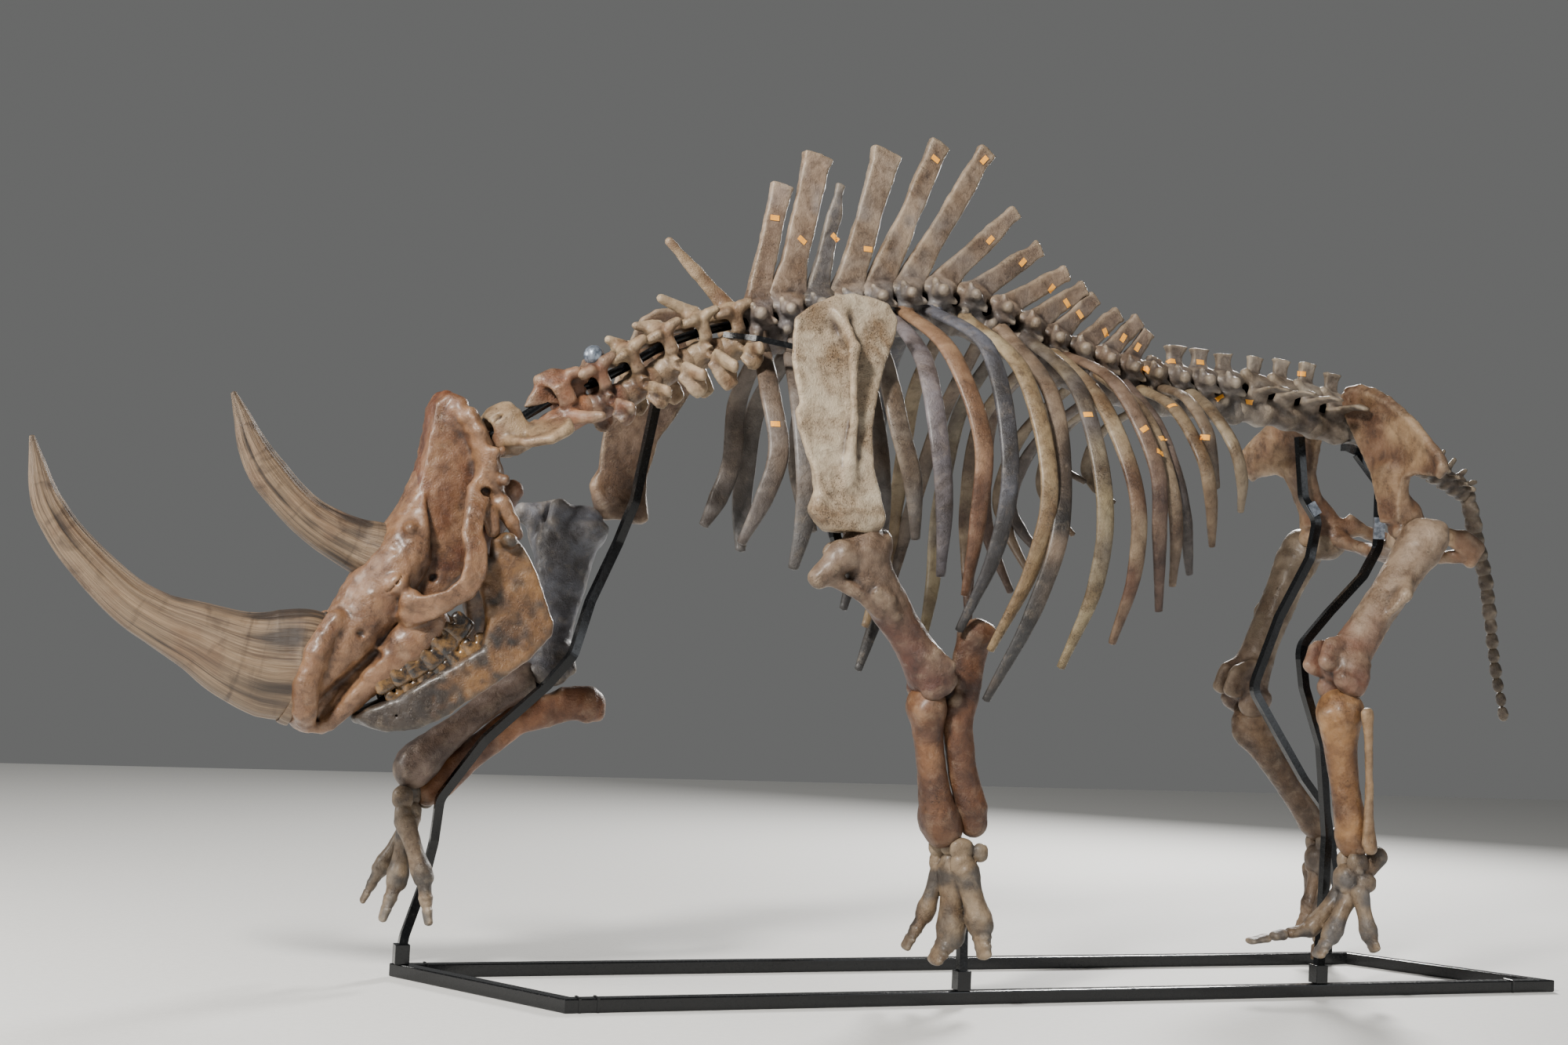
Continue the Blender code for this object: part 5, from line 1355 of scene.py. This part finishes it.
# %% Shoulder blades
NEAR_BLADE = [(-.340, 1.495), (-.295, 1.528), (-.241, 1.556), (-.200, 1.563), (-.163, 1.56), (-.116, 1.549),
              (-.093, 1.517), (-.102, 1.476), (-.122, 1.429), (-.144, 1.365), (-.156, 1.309), (-.165, 1.243),
              (-.162, 1.173), (-.147, 1.12), (-.133, 1.07), (-.140, 1.046), (-.176, 1.04), (-.222, 1.034),
              (-.252, 1.04), (-.285, 1.05), (-.299, 1.066), (-.292, 1.109), (-.300, 1.151), (-.319, 1.197),
              (-.337, 1.249), (-.343, 1.286), (-.331, 1.304), (-.343, 1.351), (-.350, 1.4), (-.347, 1.45)]
FAR_BLADE = [(-.555, 1.5), (-.540, 1.535), (-.505, 1.562), (-.439, 1.572), (-.385, 1.558), (-.378, 1.488),
             (-.383, 1.4), (-.424, 1.321), (-.466, 1.253), (-.486, 1.158), (-.488, 1.093), (-.480, 1.062),
             (-.516, 1.053), (-.547, 1.058), (-.584, 1.066), (-.602, 1.091), (-.606, 1.12), (-.618, 1.152),
             (-.604, 1.178), (-.605, 1.241), (-.598, 1.322), (-.582, 1.411)]


def near_blade_bend(u, v):
    return np.interp(v, [1.04, 1.17, 1.35, 1.56], [.302, .308, .286, .244]) + .003 * np.sin((u + .22) * 18)


def far_blade_bend(u, v):
    return -np.interp(v, [1.06, 1.17, 1.3, 1.56], [.286, .284, .262, .224])


def blade_thickness(u, v):
    return np.interp(v, [1.04, 1.1, 1.2, 1.5, 1.57], [.026, .020, .011, .007, .013])


blade = Clay()
blade.plate((0, 0, 0), (1, 0, 0), (0, 0, 1), NEAR_BLADE, blade_thickness, near_blade_bend, blend=.014)
blade.add([(-.238, -.262, 1.52), (-.228, -.290, 1.47), (-.222, -.312, 1.43), (-.226, -.322, 1.4),
           (-.222, -.322, 1.34), (-.218, -.326, 1.27), (-.222, -.328, 1.18), (-.226, -.322, 1.13)],
          [(.012, .006), (.010, .014), (.011, .018), (.011, .015), (.009, .010), (.009, .008), (.009, .006),
           (.009, .004)], side=(1, 0, 0), blend=.024)
blade.add([(-.222, -.324, 1.432), (-.236, -.328, 1.42)], [(.012, .008), (.008, .006)], side=(1, 0, 0))
blade.add([(-.210, -.302, 1.062), (-.212, -.302, 1.046)], [(.074, .040), (.070, .036)], side=(1, 0, 0),
        blend=.022)
blade.add([(-.284, -.306, 1.09), (-.292, -.300, 1.076)], [(.018, .022), (.014, .020)], side=(1, 0, 0))
blade.carve([(-.205, -.302, 1.008)], [(.060, .034)], side=(1, 0, 0), blend=.012)
near_blade = blade.fired("left_shoulder_blade", [(236, 218, 190), (204, 182, 152)], seed=200, rough=1.3,
                         material=ROUGH_BONE, weigh=lambda v: .10 + .25 * lumps(v, .05,
                                 4) + (v[:, 2] < 1.08) * .4)
standing_for(near_blade, "left_scapula", slot="pale_bone")

blade = Clay()
blade.plate((0, 0, 0), (1, 0, 0), (0, 0, 1), FAR_BLADE, blade_thickness, far_blade_bend, blend=.014)
blade.add([(-.470, .245, 1.5), (-.500, .290, 1.4), (-.530, .312, 1.28), (-.545, .308, 1.15)],
          [(.012, .010), (.009, .020), (.009, .020), (.010, .010)], side=(1, 0, 0), blend=.014)
blade.add([(-.545, .288, 1.088), (-.545, .288, 1.072)], [(.064, .038), (.062, .034)], side=(1, 0, 0),
        blend=.020)
blade.add([(-.600, .286, 1.11), (-.612, .284, 1.135)], [(.018, .020), (.014, .016)], side=(1, 0, 0))
blade.carve([(-.545, .288, 1.036)], [(.052, .034)], side=(1, 0, 0), blend=.012)
standing_for(blade.fired("right_shoulder_blade", [(158, 128, 102), (116, 96, 82)], seed=204, rough=1.3,
                         weigh=lambda v: .35 + lumps(v, .06, 4)), "right_scapula", slot="pale_bone")


# %% Upper arm bones
def humerus(name, node, joints, side, colours, broad, seed, slot):
    limb = Limb(joints[0], joints[1], side)
    clay = Clay()
    limb.lay(clay, [(.00, -.022, -.012, .042, .046), (.03, -.024, -.014, .054, .056)], .018)
    limb.lay(clay, [(.04, .004, .000, .054 * broad, .052), (.18, .012, 0, .055 * broad, .048),
                    (.42, .008, 0, .046 * broad, .040), (.66, .000, 0, .041, .040),
                    (.80, .000, .002, .044, .052),
                    (.92, .004, .000, .046, .062)], .016)
    limb.lay(clay, [(-.03, .050, .022, .036, .032), (-.01, .090, .024, .028, .028),
            (.00, .124, .022, .024, .026)], .016)
    limb.lay(clay, [(-.05, .046, -.030, .028, .022), (.04, .058, -.034, .016, .016)], .014)
    limb.lay(clay, [(.05, .100, .018, .016, .018), (.22, .062, .030, .016, .016),
            (.40, .046, .026, .012, .012)], .014)
    limb.lay(clay, [(.26, .030, .046, .018, .010), (.36, .022, .044, .022, .010),
            (.46, .016, .036, .014, .010)], .010)
    for out, wide, deep in ((-.036, .028, .046), (.000, .020, .038), (.036, .028, .046)):
        limb.lay(clay, [(.985, .006, out, deep, wide), (.99, .006, out + .001, deep, wide)], .008)
    limb.lay(clay, [(.80, -.014, .040, .022, .016), (.92, -.022, .052, .024, .012)], .014)
    limb.lay(clay, [(.82, -.018, -.036, .022, .014), (.95, -.034, -.044, .022, .014)], .014)
    limb.lay(clay, [(.88, -.052, 0, .026, .020), (.97, -.056, 0, .022, .018)], .010, True)
    limb.lay(clay, [(.02, .062, -.004, .018, .010), (-.08, .060, -.004, .018, .012)], .010, True)
    made = clay.fired(name, colours, seed=seed, rough=2.0, ease=1,
                      weigh=lambda v: (limb.share(v) - .25) * 1.3 + .7 * lumps(v, .05, seed))
    return standing_for(made, node, slot=slot)


humerus("left_upper_arm", "left_humerus", LEFT_FORELEG, NEAR, [(150, 126, 106), (100, 56, 38)], 1.0, 210,
        "brown_bone")
humerus("right_upper_arm", "right_humerus", RIGHT_FORELEG, FAR, [(134, 138, 150), (98, 96, 102)], 1.32, 216,
        "dark_bone")


# %% Forearm bones
def forearm(word, joints, side, heel, radius_colours, ulna_colours, slot, seed):
    limb = Limb(joints[1], joints[2], side)
    clay = Clay()
    limb.lay(clay, [(.115, .026, 0, .042, .056), (.15, .028, 0, .043, .054), (.30, .032, 0, .033, .038),
                    (.50, .034, 0, .031, .034), (.72, .034, 0, .037, .040), (.86, .030, 0, .046, .050),
                    (.935, .026, 0, .045, .048)], .012)
    limb.lay(clay, [(.14, .050, .030, .018, .020), (.20, .052, .024, .010, .012)])
    limb.lay(clay, [(.80, .060, .020, .010, .010), (.92, .062, .020, .010, .012)])
    limb.lay(clay, [(.82, .058, -.020, .010, .010), (.92, .060, -.020, .010, .012)])
    limb.lay(clay, [(.088, .022, -.026, .026, .024)], .006, True).add([limb.at(.98, .03, 0)], [(.001, .001)])
    made = clay.fired(word + "_forearm_front", radius_colours, seed=seed, rough=1.2,
                      weigh=lambda v: .3 + lumps(v, .05, seed) + (limb.share(v) > .8) * .4)
    standing_for(made, word + "_radius", slot=slot)
    clay = Clay()
    limb.lay(clay, [(heel - .045, -.122, .002, .032, .026), (heel, -.112, 0, .043, .034),
                    (heel * .5, -.092, 0, .040, .022), (.04, -.072, 0, .042, .022),
                    (.13, -.058, 0, .042, .028),
                    (.28, -.038, .006, .035, .030), (.60, -.034, .014, .034, .026),
                    (.84, -.042, .020, .037, .030),
                    (.95, -.042, .020, .031, .028)], .012)
    limb.lay(clay, [(.02, -.046, 0, .020, .022), (.09, -.038, 0, .020, .030)], .010)
    limb.lay(clay, [(.00, .006, -.06, .046, .046), (.00, .006, .06, .046, .046)], .006, True)
    limb.lay(clay, [(.12, -.034, .026, .014, .014)])
    limb.lay(clay, [(heel - .05, -.095, -.002, .018, .014), (heel - .02, -.148, .004, .014, .018)])
    made = clay.fired(word + "_forearm_heel", ulna_colours, seed=seed + 3, rough=1.2,
                      weigh=lambda v: .3 + lumps(v, .05, seed + 3))
    standing_for(made, word + "_ulna", slot=slot)


forearm("left", LEFT_FORELEG, NEAR, -.24, [(146, 100, 62), (98, 62, 40)], [(128, 82, 48), (84, 50, 30)],
        "brown_bone", 220)
forearm("right", RIGHT_FORELEG, FAR, -.09, [(150, 126, 112), (104, 84, 74)], [(160, 104, 60), (108, 66, 40)],
        "grey_bone", 228)


# %% Thigh bones
def thigh(name, node, joints, side, colours, seed):
    limb = Limb(joints[0], joints[1], side)
    clay = Clay()
    limb.lay(clay, [(-.012, 0, -.018, .047, .046)], .014)
    limb.lay(clay, [(-.01, 0, -.004, .036, .038), (.05, .000, .040, .030, .036),
            (.09, .0, .064, .030, .036)], .018)
    limb.lay(clay, [(.00, -.008, .096, .026, .030), (.05, -.006, .092, .036, .040),
            (.14, .000, .080, .034, .038)], .018)
    limb.lay(clay, [(.06, .000, .070, .056, .058), (.14, .000, .066, .056, .058),
            (.22, .002, .060, .050, .054),
                    (.40, .004, .046, .045, .048), (.60, .006, .028, .045, .045),
                    (.76, .006, .012, .049, .050),
                    (.88, .004, .002, .056, .060)], .018)
    limb.lay(clay, [(.36, .000, .076, .016, .020), (.44, -.002, .100, .016, .026),
            (.52, -.002, .090, .013, .022),
                    (.60, .0, .062, .012, .014)], .016)
    limb.lay(clay, [(.47, -.004, .112, .015, .016)], .012)
    limb.lay(clay, [(.18, -.012, .012, .012, .014), (.26, -.010, .012, .010, .012)])
    for out, deep in ((-.030, .030), (.024, .025)):
        limb.lay(clay, [(.79, .036, out, .020, .018), (.87, .062, out, deep, .018),
                (.965, .054, out, deep, .019)], .008)
    for out, rear in ((-.038, -.020), (.036, -.014)):
        limb.lay(clay, [(.92, rear, out, .042, .029), (.99, rear, out, .044, .029)], .008)
    limb.lay(clay, [(.95, -.052, 0, .030, .010), (1.06, -.030, 0, .034, .010)], .008, True)
    limb.lay(clay, [(.045, -.040, .066, .014, .018)], .010, True)
    limb.lay(clay, [(.86, -.010, .056, .024, .010), (.93, -.012, .058, .022, .010)])
    made = clay.fired(name, colours, seed=seed, rough=1.5,
                      weigh=lambda v: (limb.share(v) - .60) * 2.4 + .6 * lumps(v, .05, seed))
    return standing_for(made, node, slot="pale_bone")


thigh("left_thigh", "left_femur", LEFT_HINDLEG, NEAR, [(190, 166, 142), (136, 92, 70)], 240)
thigh("right_thigh", "right_femur", RIGHT_HINDLEG, FAR, [(160, 142, 120), (122, 94, 74)], 246)


# %% Shin bones
def shin(word, joints, side, tibia_colours, fibula_colours, seed):
    limb = Limb(joints[1], joints[2], side)
    clay = Clay()
    limb.lay(clay, [(.158, -.006, .0, .054, .060), (.185, -.004, .0, .054, .058), (.26, .002, .0, .046, .048),
                    (.42, .006, .0, .038, .037), (.65, .004, .0, .034, .034), (.82, .0, .0, .037, .040),
                    (.92, .0, .0, .039, .044), (.955, .0, .0, .036, .042)], .014)
    limb.lay(clay, [(.165, .040, .010, .020, .020), (.22, .044, .008, .014, .016),
            (.34, .030, .006, .010, .010)], .014)
    limb.lay(clay, [(.135, -.004, .0, .010, .008)], .008)
    limb.lay(clay, [(.15, .020, .040, .012, .010), (.24, .012, .044, .008, .008)])
    limb.lay(clay, [(.94, -.004, -.034, .020, .014), (.98, -.004, -.036, .016, .010)])
    limb.lay(clay, [(.30, -.034, 0, .012, .020), (.20, -.052, 0, .014, .016)], .012, True)
    made = clay.fired(word + "_shin", tibia_colours, seed=seed, rough=1.2,
                      weigh=lambda v: .35 + lumps(v, .05, seed) + (limb.share(v) > .88) * .3)
    standing_for(made, word + "_tibia", slot="pale_bone")
    clay = Clay()
    limb.lay(clay, [(.165, -.030, .070, .018, .012), (.20, -.030, .070, .017, .011),
            (.32, -.030, .066, .011, .010),
                    (.60, -.024, .056, .010, .010), (.82, -.014, .052, .013, .011),
                    (.94, -.006, .056, .020, .014),
                    (.975, -.006, .058, .018, .014)], .006)
    made = clay.fired(word + "_shin_rod", fibula_colours, seed=seed + 2, rough=.8,
                      weigh=lambda v: .4 + lumps(v, .05, seed))
    standing_for(made, word + "_fibula", slot="pale_bone")


shin("left", LEFT_HINDLEG, NEAR, [(188, 142, 92), (146, 104, 66)], [(180, 142, 98), (140, 106, 72)], 250)
shin("right", RIGHT_HINDLEG, FAR, [(134, 104, 74), (92, 72, 54)], [(128, 106, 82), (90, 74, 58)], 256)

# %% [markdown]
# ## Feet
#
# A rhinoceros stands on three toes. The small bones of wrist and ankle fit
# together like pebbles, so the strokes of a foot are joined with almost no
# blending and each bone keeps its own edge.


# %% Feet
def toe(clay, start, knuckle, tip, thick, slender=1.0):
    """One long foot bone, two short ones and the broad flat one under the hoof."""
    start, knuckle, tip = (np.array(q, float) for q in (start, knuckle, tip))
    across = (0, 1, 0)
    long = [start * (1 - s) + knuckle * s for s in (0, .12, .5, .86, 1)]
    wide = [(1.02, .95), (.96, .86), (.78, .70), (1.0, .90), (.94, .90)]
    clay.add(long, [(thick * a * slender, thick * b) for a, b in wide], across, .001)
    for a, b, ends in ((.10, .32, (.86, .70)), (.46, .58, (.84, .62)), (.74, .98, (1.0, .44))):
        first = knuckle * (1 - a) + tip * a
        last = knuckle * (1 - b) + tip * b
        middle = (first + last) / 2
        fat, flat = ends
        clay.add([first, middle, last], [(thick * fat, thick * flat), (thick * fat * .82, thick * flat * .8),
                                         (thick * fat * .95, thick * flat * .8)], across, .001)


def pebbles(clay, bones):
    for x, y, z, rx, ry, rz in bones:
        clay.add([(x, y, z - rz * .3), (x, y, z + rz * .3)], [(rx, ry), (rx, ry)], (1, 0, 0), .001)


def forefoot(word, ankle, side, toes, colours, seed):
    ankle = np.array(ankle)
    clay = Clay(cell=.72)
    rows = [(-.022, -.030, -.026, .024, .020, .022), (-.004, .004, -.022, .030, .018, .024),
            (.002, .036, -.026, .028, .018, .022), (.046, .040, -.034, .018, .015, .022),
            (-.020, -.036, -.062, .020, .018, .019), (.000, -.002, -.062, .029, .021, .021),
            (.004, .038, -.060, .027, .020, .021)]
    pebbles(clay, [(ankle[0] + x, ankle[1] + side * y, ankle[2] + z, rx, ry, rz) for x, y, z, rx, ry,
            rz in rows])
    for out, knuckle, tip, thick in toes:
        start = ankle + np.array([out * .3, side * out * .70, -.078])
        bend = ankle + np.array([knuckle[0], side * out * 1.1, knuckle[1]])
        end = ankle + np.array([tip[0], side * out * 1.35, tip[1]])
        toe(clay, start, bend, end, thick)
    made = clay.fired(word + "_fore_foot", colours, seed=seed, rough=.9, ease=1,
                      weigh=lambda v: .45 + 1.2 * lumps(v, .035, seed) + .3 * lumps(v, .012, seed))
    standing_for(made, word + "_forefoot", slot="grey_bone")


def hindfoot(word, ankle, side, toes, colours, seed):
    ankle = np.array(ankle)
    clay = Clay(cell=.72)
    for y in (-.022, .020):
        clay.add([ankle + (-.010, side * y, -.030), ankle + (.006, side * y, -.026)],
                [(.018, .028), (.018, .026)],
                 (0, 1, 0), .004)
    clay.add([ankle + (-.006, 0, -.048)], [(.044, .018)], (0, 1, 0), .004)
    clay.add([ankle + (.004, side * .014, -.062), ankle + (.036, side * .014, -.040),
            ankle + (.060, side * .014, -.012)],
             [(.022, .024), (.018, .022), (.024, .026)], (0, 1, 0), .001)
    pebbles(clay, [(ankle[0] + x, ankle[1] + side * y, ankle[2] + z, rx, ry, rz) for x, y, z, rx, ry, rz in (
        (-.014, -.006, -.068, .032, .034, .014), (.012, .036, -.074, .026, .017, .022),
        (-.012, -.026, -.088, .022, .018, .013), (-.012, .006, -.088, .028, .018, .014))])
    for out, knuckle, tip, thick in toes:
        start = ankle + np.array([-.005, side * out * .7, -.098])
        bend = ankle + np.array([knuckle[0], side * out * 1.1, knuckle[1]])
        end = ankle + np.array([tip[0], side * out * 1.35, tip[1]])
        toe(clay, start, bend, end, thick)
    made = clay.fired(word + "_hind_foot", colours, seed=seed, rough=.9, ease=1,
                      weigh=lambda v: .45 + 1.2 * lumps(v, .035, seed) + .3 * lumps(v, .012, seed))
    standing_for(made, word + "_hindfoot", slot="grey_bone")


forefoot("left", LEFT_FORELEG[2], NEAR,
         [(-.046, (-.040, -.182), (-.078, -.256), .024), (.0, (.002, -.222), (-.034, -.276), .036),
          (.050, (.046, -.192), (.052, -.256), .033)], [(170, 148, 120), (100, 92, 84)], 260)
forefoot("right", RIGHT_FORELEG[2], FAR,
         [(-.050, (.030, -.200), (.045, -.298), .026), (.0, (-.018, -.215), (-.045, -.298), .027),
          (.055, (-.045, -.195), (-.078, -.268), .021)], [(158, 138, 114), (96, 90, 84)], 264)
hindfoot("left", LEFT_HINDLEG[2], NEAR,
         [(-.045, (-.085, -.195), (-.250, -.225), .024), (.0, (-.060, -.205), (-.095, -.250), .026),
          (.050, (.010, -.195), (.018, -.228), .023)], [(164, 142, 116), (108, 102, 98)], 268)
hindfoot("right", RIGHT_HINDLEG[2], FAR,
         [(-.055, (-.040, -.205), (-.060, -.325), .021), (.0, (-.030, -.205), (-.055, -.255), .026),
          (.050, (.020, -.200), (.035, -.245), .022)], [(160, 134, 108), (102, 88, 76)], 272)

# %% [markdown]
# ## Steel
#
# Square bar, bent over a former, carries each leg. Geometry Nodes rounds the
# corners of a line of points and runs a square profile along it. The posts stand
# in short sockets on a frame of square tube.

# %% Rod and irons
BAR = .0140  # half the diagonal of the square bar
FOOT = .0303


def canal_line():
    """The line through the canals, above the middle of the bodies."""
    bodies = [(x, z) for x, z in NECK[:-1]] + [tuple(back_line[round(k * 170 / 9)][[0,
            2]]) for k in range(10)]
    bodies += [(1.02, 1.437), (1.1, 1.434), (1.18, 1.426), (1.26, 1.412)]
    places = []
    for i, (x, z) in enumerate(bodies):
        before, after = bodies[max(i - 1, 0)], bodies[min(i + 1, len(bodies) - 1)]
        high = .052 if i < 7 else .049
        places.append(Place((x, z), (after[0] - before[0], after[1] - before[1])).at(0, high))
    return [places[0] + (places[0] - places[1]) * .45, *places]


rod = along_line("backbone_rod", smooth_path(canal_line(), 90), BAR_GROUP, STEEL, True, Half_side=.0108,
                 Bend_radius=.0, Sides=14)
standing_for(rod, "spine_rod", slot="black_steel")
IRONS = {
    "left_fore_iron": [(.150, -.228, FOOT), (.150, -.228, .055), (.152, -.216, .20), (.150, -.155, .29),
                       (.110, -.150, .42), (.075, -.195, .60), (.040, -.180, .72), (-.100, -.215, .90),
                       (-.205, -.215, 1.02), (-.200, -.205, 1.15)],
    "right_fore_iron": [(-1.017, .228, FOOT), (-1.017, .228, .055), (-1.012, .232, .09), (-.970, .262, .20),
                        (-.952, .256, .30), (-.952, .220, .40), (-.870, .170, .535), (-.735, .160, .665),
                        (-.680, .155, .735), (-.640, .175, .86), (-.575, .195, 1.0), (-.545, .175, 1.1),
                        (-.510, .150, 1.36)],
    "left_hind_iron": [(1.122, -.222, FOOT), (1.122, -.222, .055), (1.172, -.165, .17), (1.18, -.162, .38),
                       (1.15, -.168, .60), (1.092, -.172, .74), (1.076, -.172, .84), (1.19, -.130, .93),
                       (1.32, -.092, 1.03), (1.38, -.075, 1.11), (1.372, -.085, 1.27), (1.31, -.070, 1.345)],
    "right_hind_iron": [(1.48, .228, FOOT), (1.48, .228, .055), (1.45, .135, .20), (1.405, .142, .42),
                        (1.33, .140, .50), (1.17, .152, .73), (1.23, .130, .92), (1.3, .100, 1.08),
                        (1.316, .095, 1.18), (1.28, .110, 1.24), (1.262, .110, 1.4)],
}
for node, route in IRONS.items():
    bar = along_line(node.replace("iron", "bar"), route, BAR_GROUP, STEEL, False, Half_side=BAR,
            Bend_radius=.05,
                     Sides=4)
    standing_for(bar, node, slot="black_steel")


# %% Sockets and base frame
def block(name, centre, half, material, turn=0.0, bevel=.0015):
    """A bevelled block, turned about the upright axis."""
    shape = bmesh.new()
    bmesh.ops.create_cube(shape, size=2)
    bmesh.ops.scale(shape, vec=half, verts=shape.verts)
    bmesh.ops.bevel(shape, geom=shape.edges[:], offset=bevel, segments=2, affect="EDGES", profile=.5)
    bmesh.ops.rotate(shape, matrix=Matrix.Rotation(turn, 3, "Z"), verts=shape.verts)
    bmesh.ops.translate(shape, vec=centre, verts=shape.verts)
    mesh = bpy.data.meshes.new(name)
    shape.to_mesh(mesh)
    shape.free()
    mesh.materials.append(material)
    thing = bpy.data.objects.new(name, mesh)
    bpy.context.scene.collection.objects.link(thing)
    return thing


BEAM, LENGTH, REAR, SKEW, HALF = .030, 2.605, 1.833, .266, .245
left = REAR - LENGTH
inset = BEAM * 1.1
OUTER = [(left, -HALF), (REAR, -HALF), (REAR - SKEW, HALF), (left - SKEW, HALF)]
INNER = [(left + inset * .6, -HALF + BEAM), (REAR - inset * 1.6, -HALF + BEAM),
         (REAR - SKEW - inset * .6, HALF - BEAM), (left - SKEW + inset * 1.6, HALF - BEAM)]
shape = bmesh.new()
rings = [[shape.verts.new((x, y, z)) for x, y in outline]
         for outline, z in ((OUTER, 0), (OUTER, BEAM), (INNER, BEAM), (INNER, 0))]
for ring, other in zip(rings, rings[1:] + rings[:1]):
    for k in range(4):
        shape.faces.new((ring[k], ring[(k + 1) % 4], other[(k + 1) % 4], other[k]))
bmesh.ops.recalc_face_normals(shape, faces=shape.faces)
around = [edge for edge in shape.edges if abs(edge.calc_face_angle() - pi / 2) < .1]
bmesh.ops.bevel(shape, geom=around, offset=.0028, segments=3, affect="EDGES", profile=.5)
mesh = bpy.data.meshes.new("base_tubes")
shape.to_mesh(mesh)
shape.free()
mesh.materials.append(STEEL)
base = bpy.data.objects.new("base_tubes", mesh)
bpy.context.scene.collection.objects.link(base)
standing_for(base, "base_frame", slot="black_steel")

for k, (x, y) in enumerate(((.150, -.228), (-1.017, .228), (1.122, -.222), (1.48, .228))):
    standing_for(block(f"socket_{k + 1}", (x, y, FOOT + .022), (.0165, .0165, .022), STEEL),
            slot="black_steel")
for k, (x, y) in enumerate(((-.700, -.230), (-.740, -.230), (1.7, -.230), (-.960, .230))):
    standing_for(block(f"collar_{k + 1}", (x, y, .0160), (.003, .0165, .0160), STEEL, bevel=.0008),
            slot="black_steel")

# %% [markdown]
# Small things are left: a bar that holds the left shoulder blade, two sleeves on
# the hip irons, a clear knob on the neck, and the blank number stickers. Each
# sticker is a little sheet pressed onto the bone that the camera sees there.

# %% Small fittings
for name, route, size, stuff in (
        ("shoulder_bar", [(-.415, -.020, 1.478), (-.364, -.100, 1.464), (-.281, -.165, 1.442),
        (-.235, -.240, 1.436)],
         .009, STEEL),
        ("hip_bar", [(1.31, -.070, 1.352), (1.33, -.010, 1.368), (1.345, .030, 1.372)], .013, STEEL),
        ("left_sleeve", [(1.373, -.086, 1.185), (1.376, -.081, 1.13)], .0185, SLEEVE),
        ("right_sleeve", [(1.314, .096, 1.195), (1.296, .104, 1.225)], .0180, SLEEVE)):
    standing_for(along_line(name, route, BAR_GROUP, stuff, False, Half_side=size, Bend_radius=.01, Sides=4),
                 slot="black_steel")
knob = Clay(cell=.6)
knob.add([(-.724, -.030, 1.398)], [(.0230, .0230)]).add([(-.722, -.008, 1.38), (-.724, -.026, 1.392)],
        [(.011, .011)] * 2)
knob.carve([(-.724, -.057, 1.398)], [(.008, .008)], blend=.002)
standing_for(knob.fired("clear_knob", [(150, 150, 150)], rough=.1, material=SLEEVE))


# %% Number stickers
def sticker(bm, x, z, turn):
    """A sheet of 22 by 12 mm on the first bone met from the camera through (x, 0, z)."""
    eye = camera.matrix_world.translation
    graph = bpy.context.evaluated_depsgraph_get()
    scene = bpy.context.scene
    hit, spot, normal, *_ = scene.ray_cast(graph, eye, (Vector((x, 0, z)) - eye).normalized())
    if not hit:
        return 0
    along = Vector((cos(turn), 0, sin(turn)))
    along = (along - normal * along.dot(normal)).normalized()
    across = normal.cross(along)
    grid = []
    for i in range(7):
        for j in range(5):
            place = spot + along * (i - 3) * .0036 + across * (j - 2) * .0031
            met, touch, *_ = scene.ray_cast(graph, place + normal * .012, -normal, distance=.03)
            grid.append(bm.verts.new((touch if met else place) + normal * .0012))
    for i in range(6):
        for j in range(4):
            k = i * 5 + j
            bm.faces.new((grid[k], grid[k + 5], grid[k + 6], grid[k + 1]))
    return 1


STICKERS = [(-.3, 1.766, 0), (-.229, 1.723, -35), (-.146, 1.739, -40), (-.06, 1.722, 0), (.105, 1.961, -30),
            (.236, 1.977, 50), (.262, 1.784, 50), (.353, 1.74, 50), (.436, 1.685, 55), (.481, 1.654, -50),
            (.518, 1.63, -50), (.593, 1.593, -60), (.645, 1.585, 60), (.687, 1.566, 60), (.719, 1.512, -20),
            (.787, 1.541, 0), (.872, 1.547, 0), (.934, 1.463, -10), (1.022, 1.459, 0), (1.181, 1.548, 0),
            (-.273, 1.288, 0), (.553, 1.385, 0), (.716, 1.364, 35), (.77, 1.345, 20), (.764, 1.309, -10),
            (.894, 1.358, 0), (.794, 1.43, 0)]
bpy.context.view_layer.update()
sheet = bmesh.new()
found = sum(sticker(sheet, x, z, radians(turn)) for x, z, turn in STICKERS)
bmesh.ops.recalc_face_normals(sheet, faces=sheet.faces)
bmesh.ops.solidify(sheet, geom=sheet.faces[:], thickness=.0008)
mesh = bpy.data.meshes.new("number_stickers")
sheet.to_mesh(mesh)
sheet.free()
mesh.materials.append(STICKER)
stickers = bpy.data.objects.new("number_stickers", mesh)
bpy.context.scene.collection.objects.link(stickers)
standing_for(stickers)
print("stickers", found)

# %% [markdown]
# The floor is pale and plain. Last, the size of the model is measured and
# printed beside the size at the start.

# %% Floor and finish
floor = mesh_object("floor", np.array([(-9, -7, 0), (9, -7, 0), (9, 7, 0), (-9, 7, 0)], float),
                    np.array([[0, 1, 2, 3]]), floor_material(), False)
floor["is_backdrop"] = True

size_at_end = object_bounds()
sizes = {"cad": [list(map(float, corner)) for corner in size_at_start],
         "visual": [list(map(float, corner)) for corner in size_at_end]}
print(sizes)
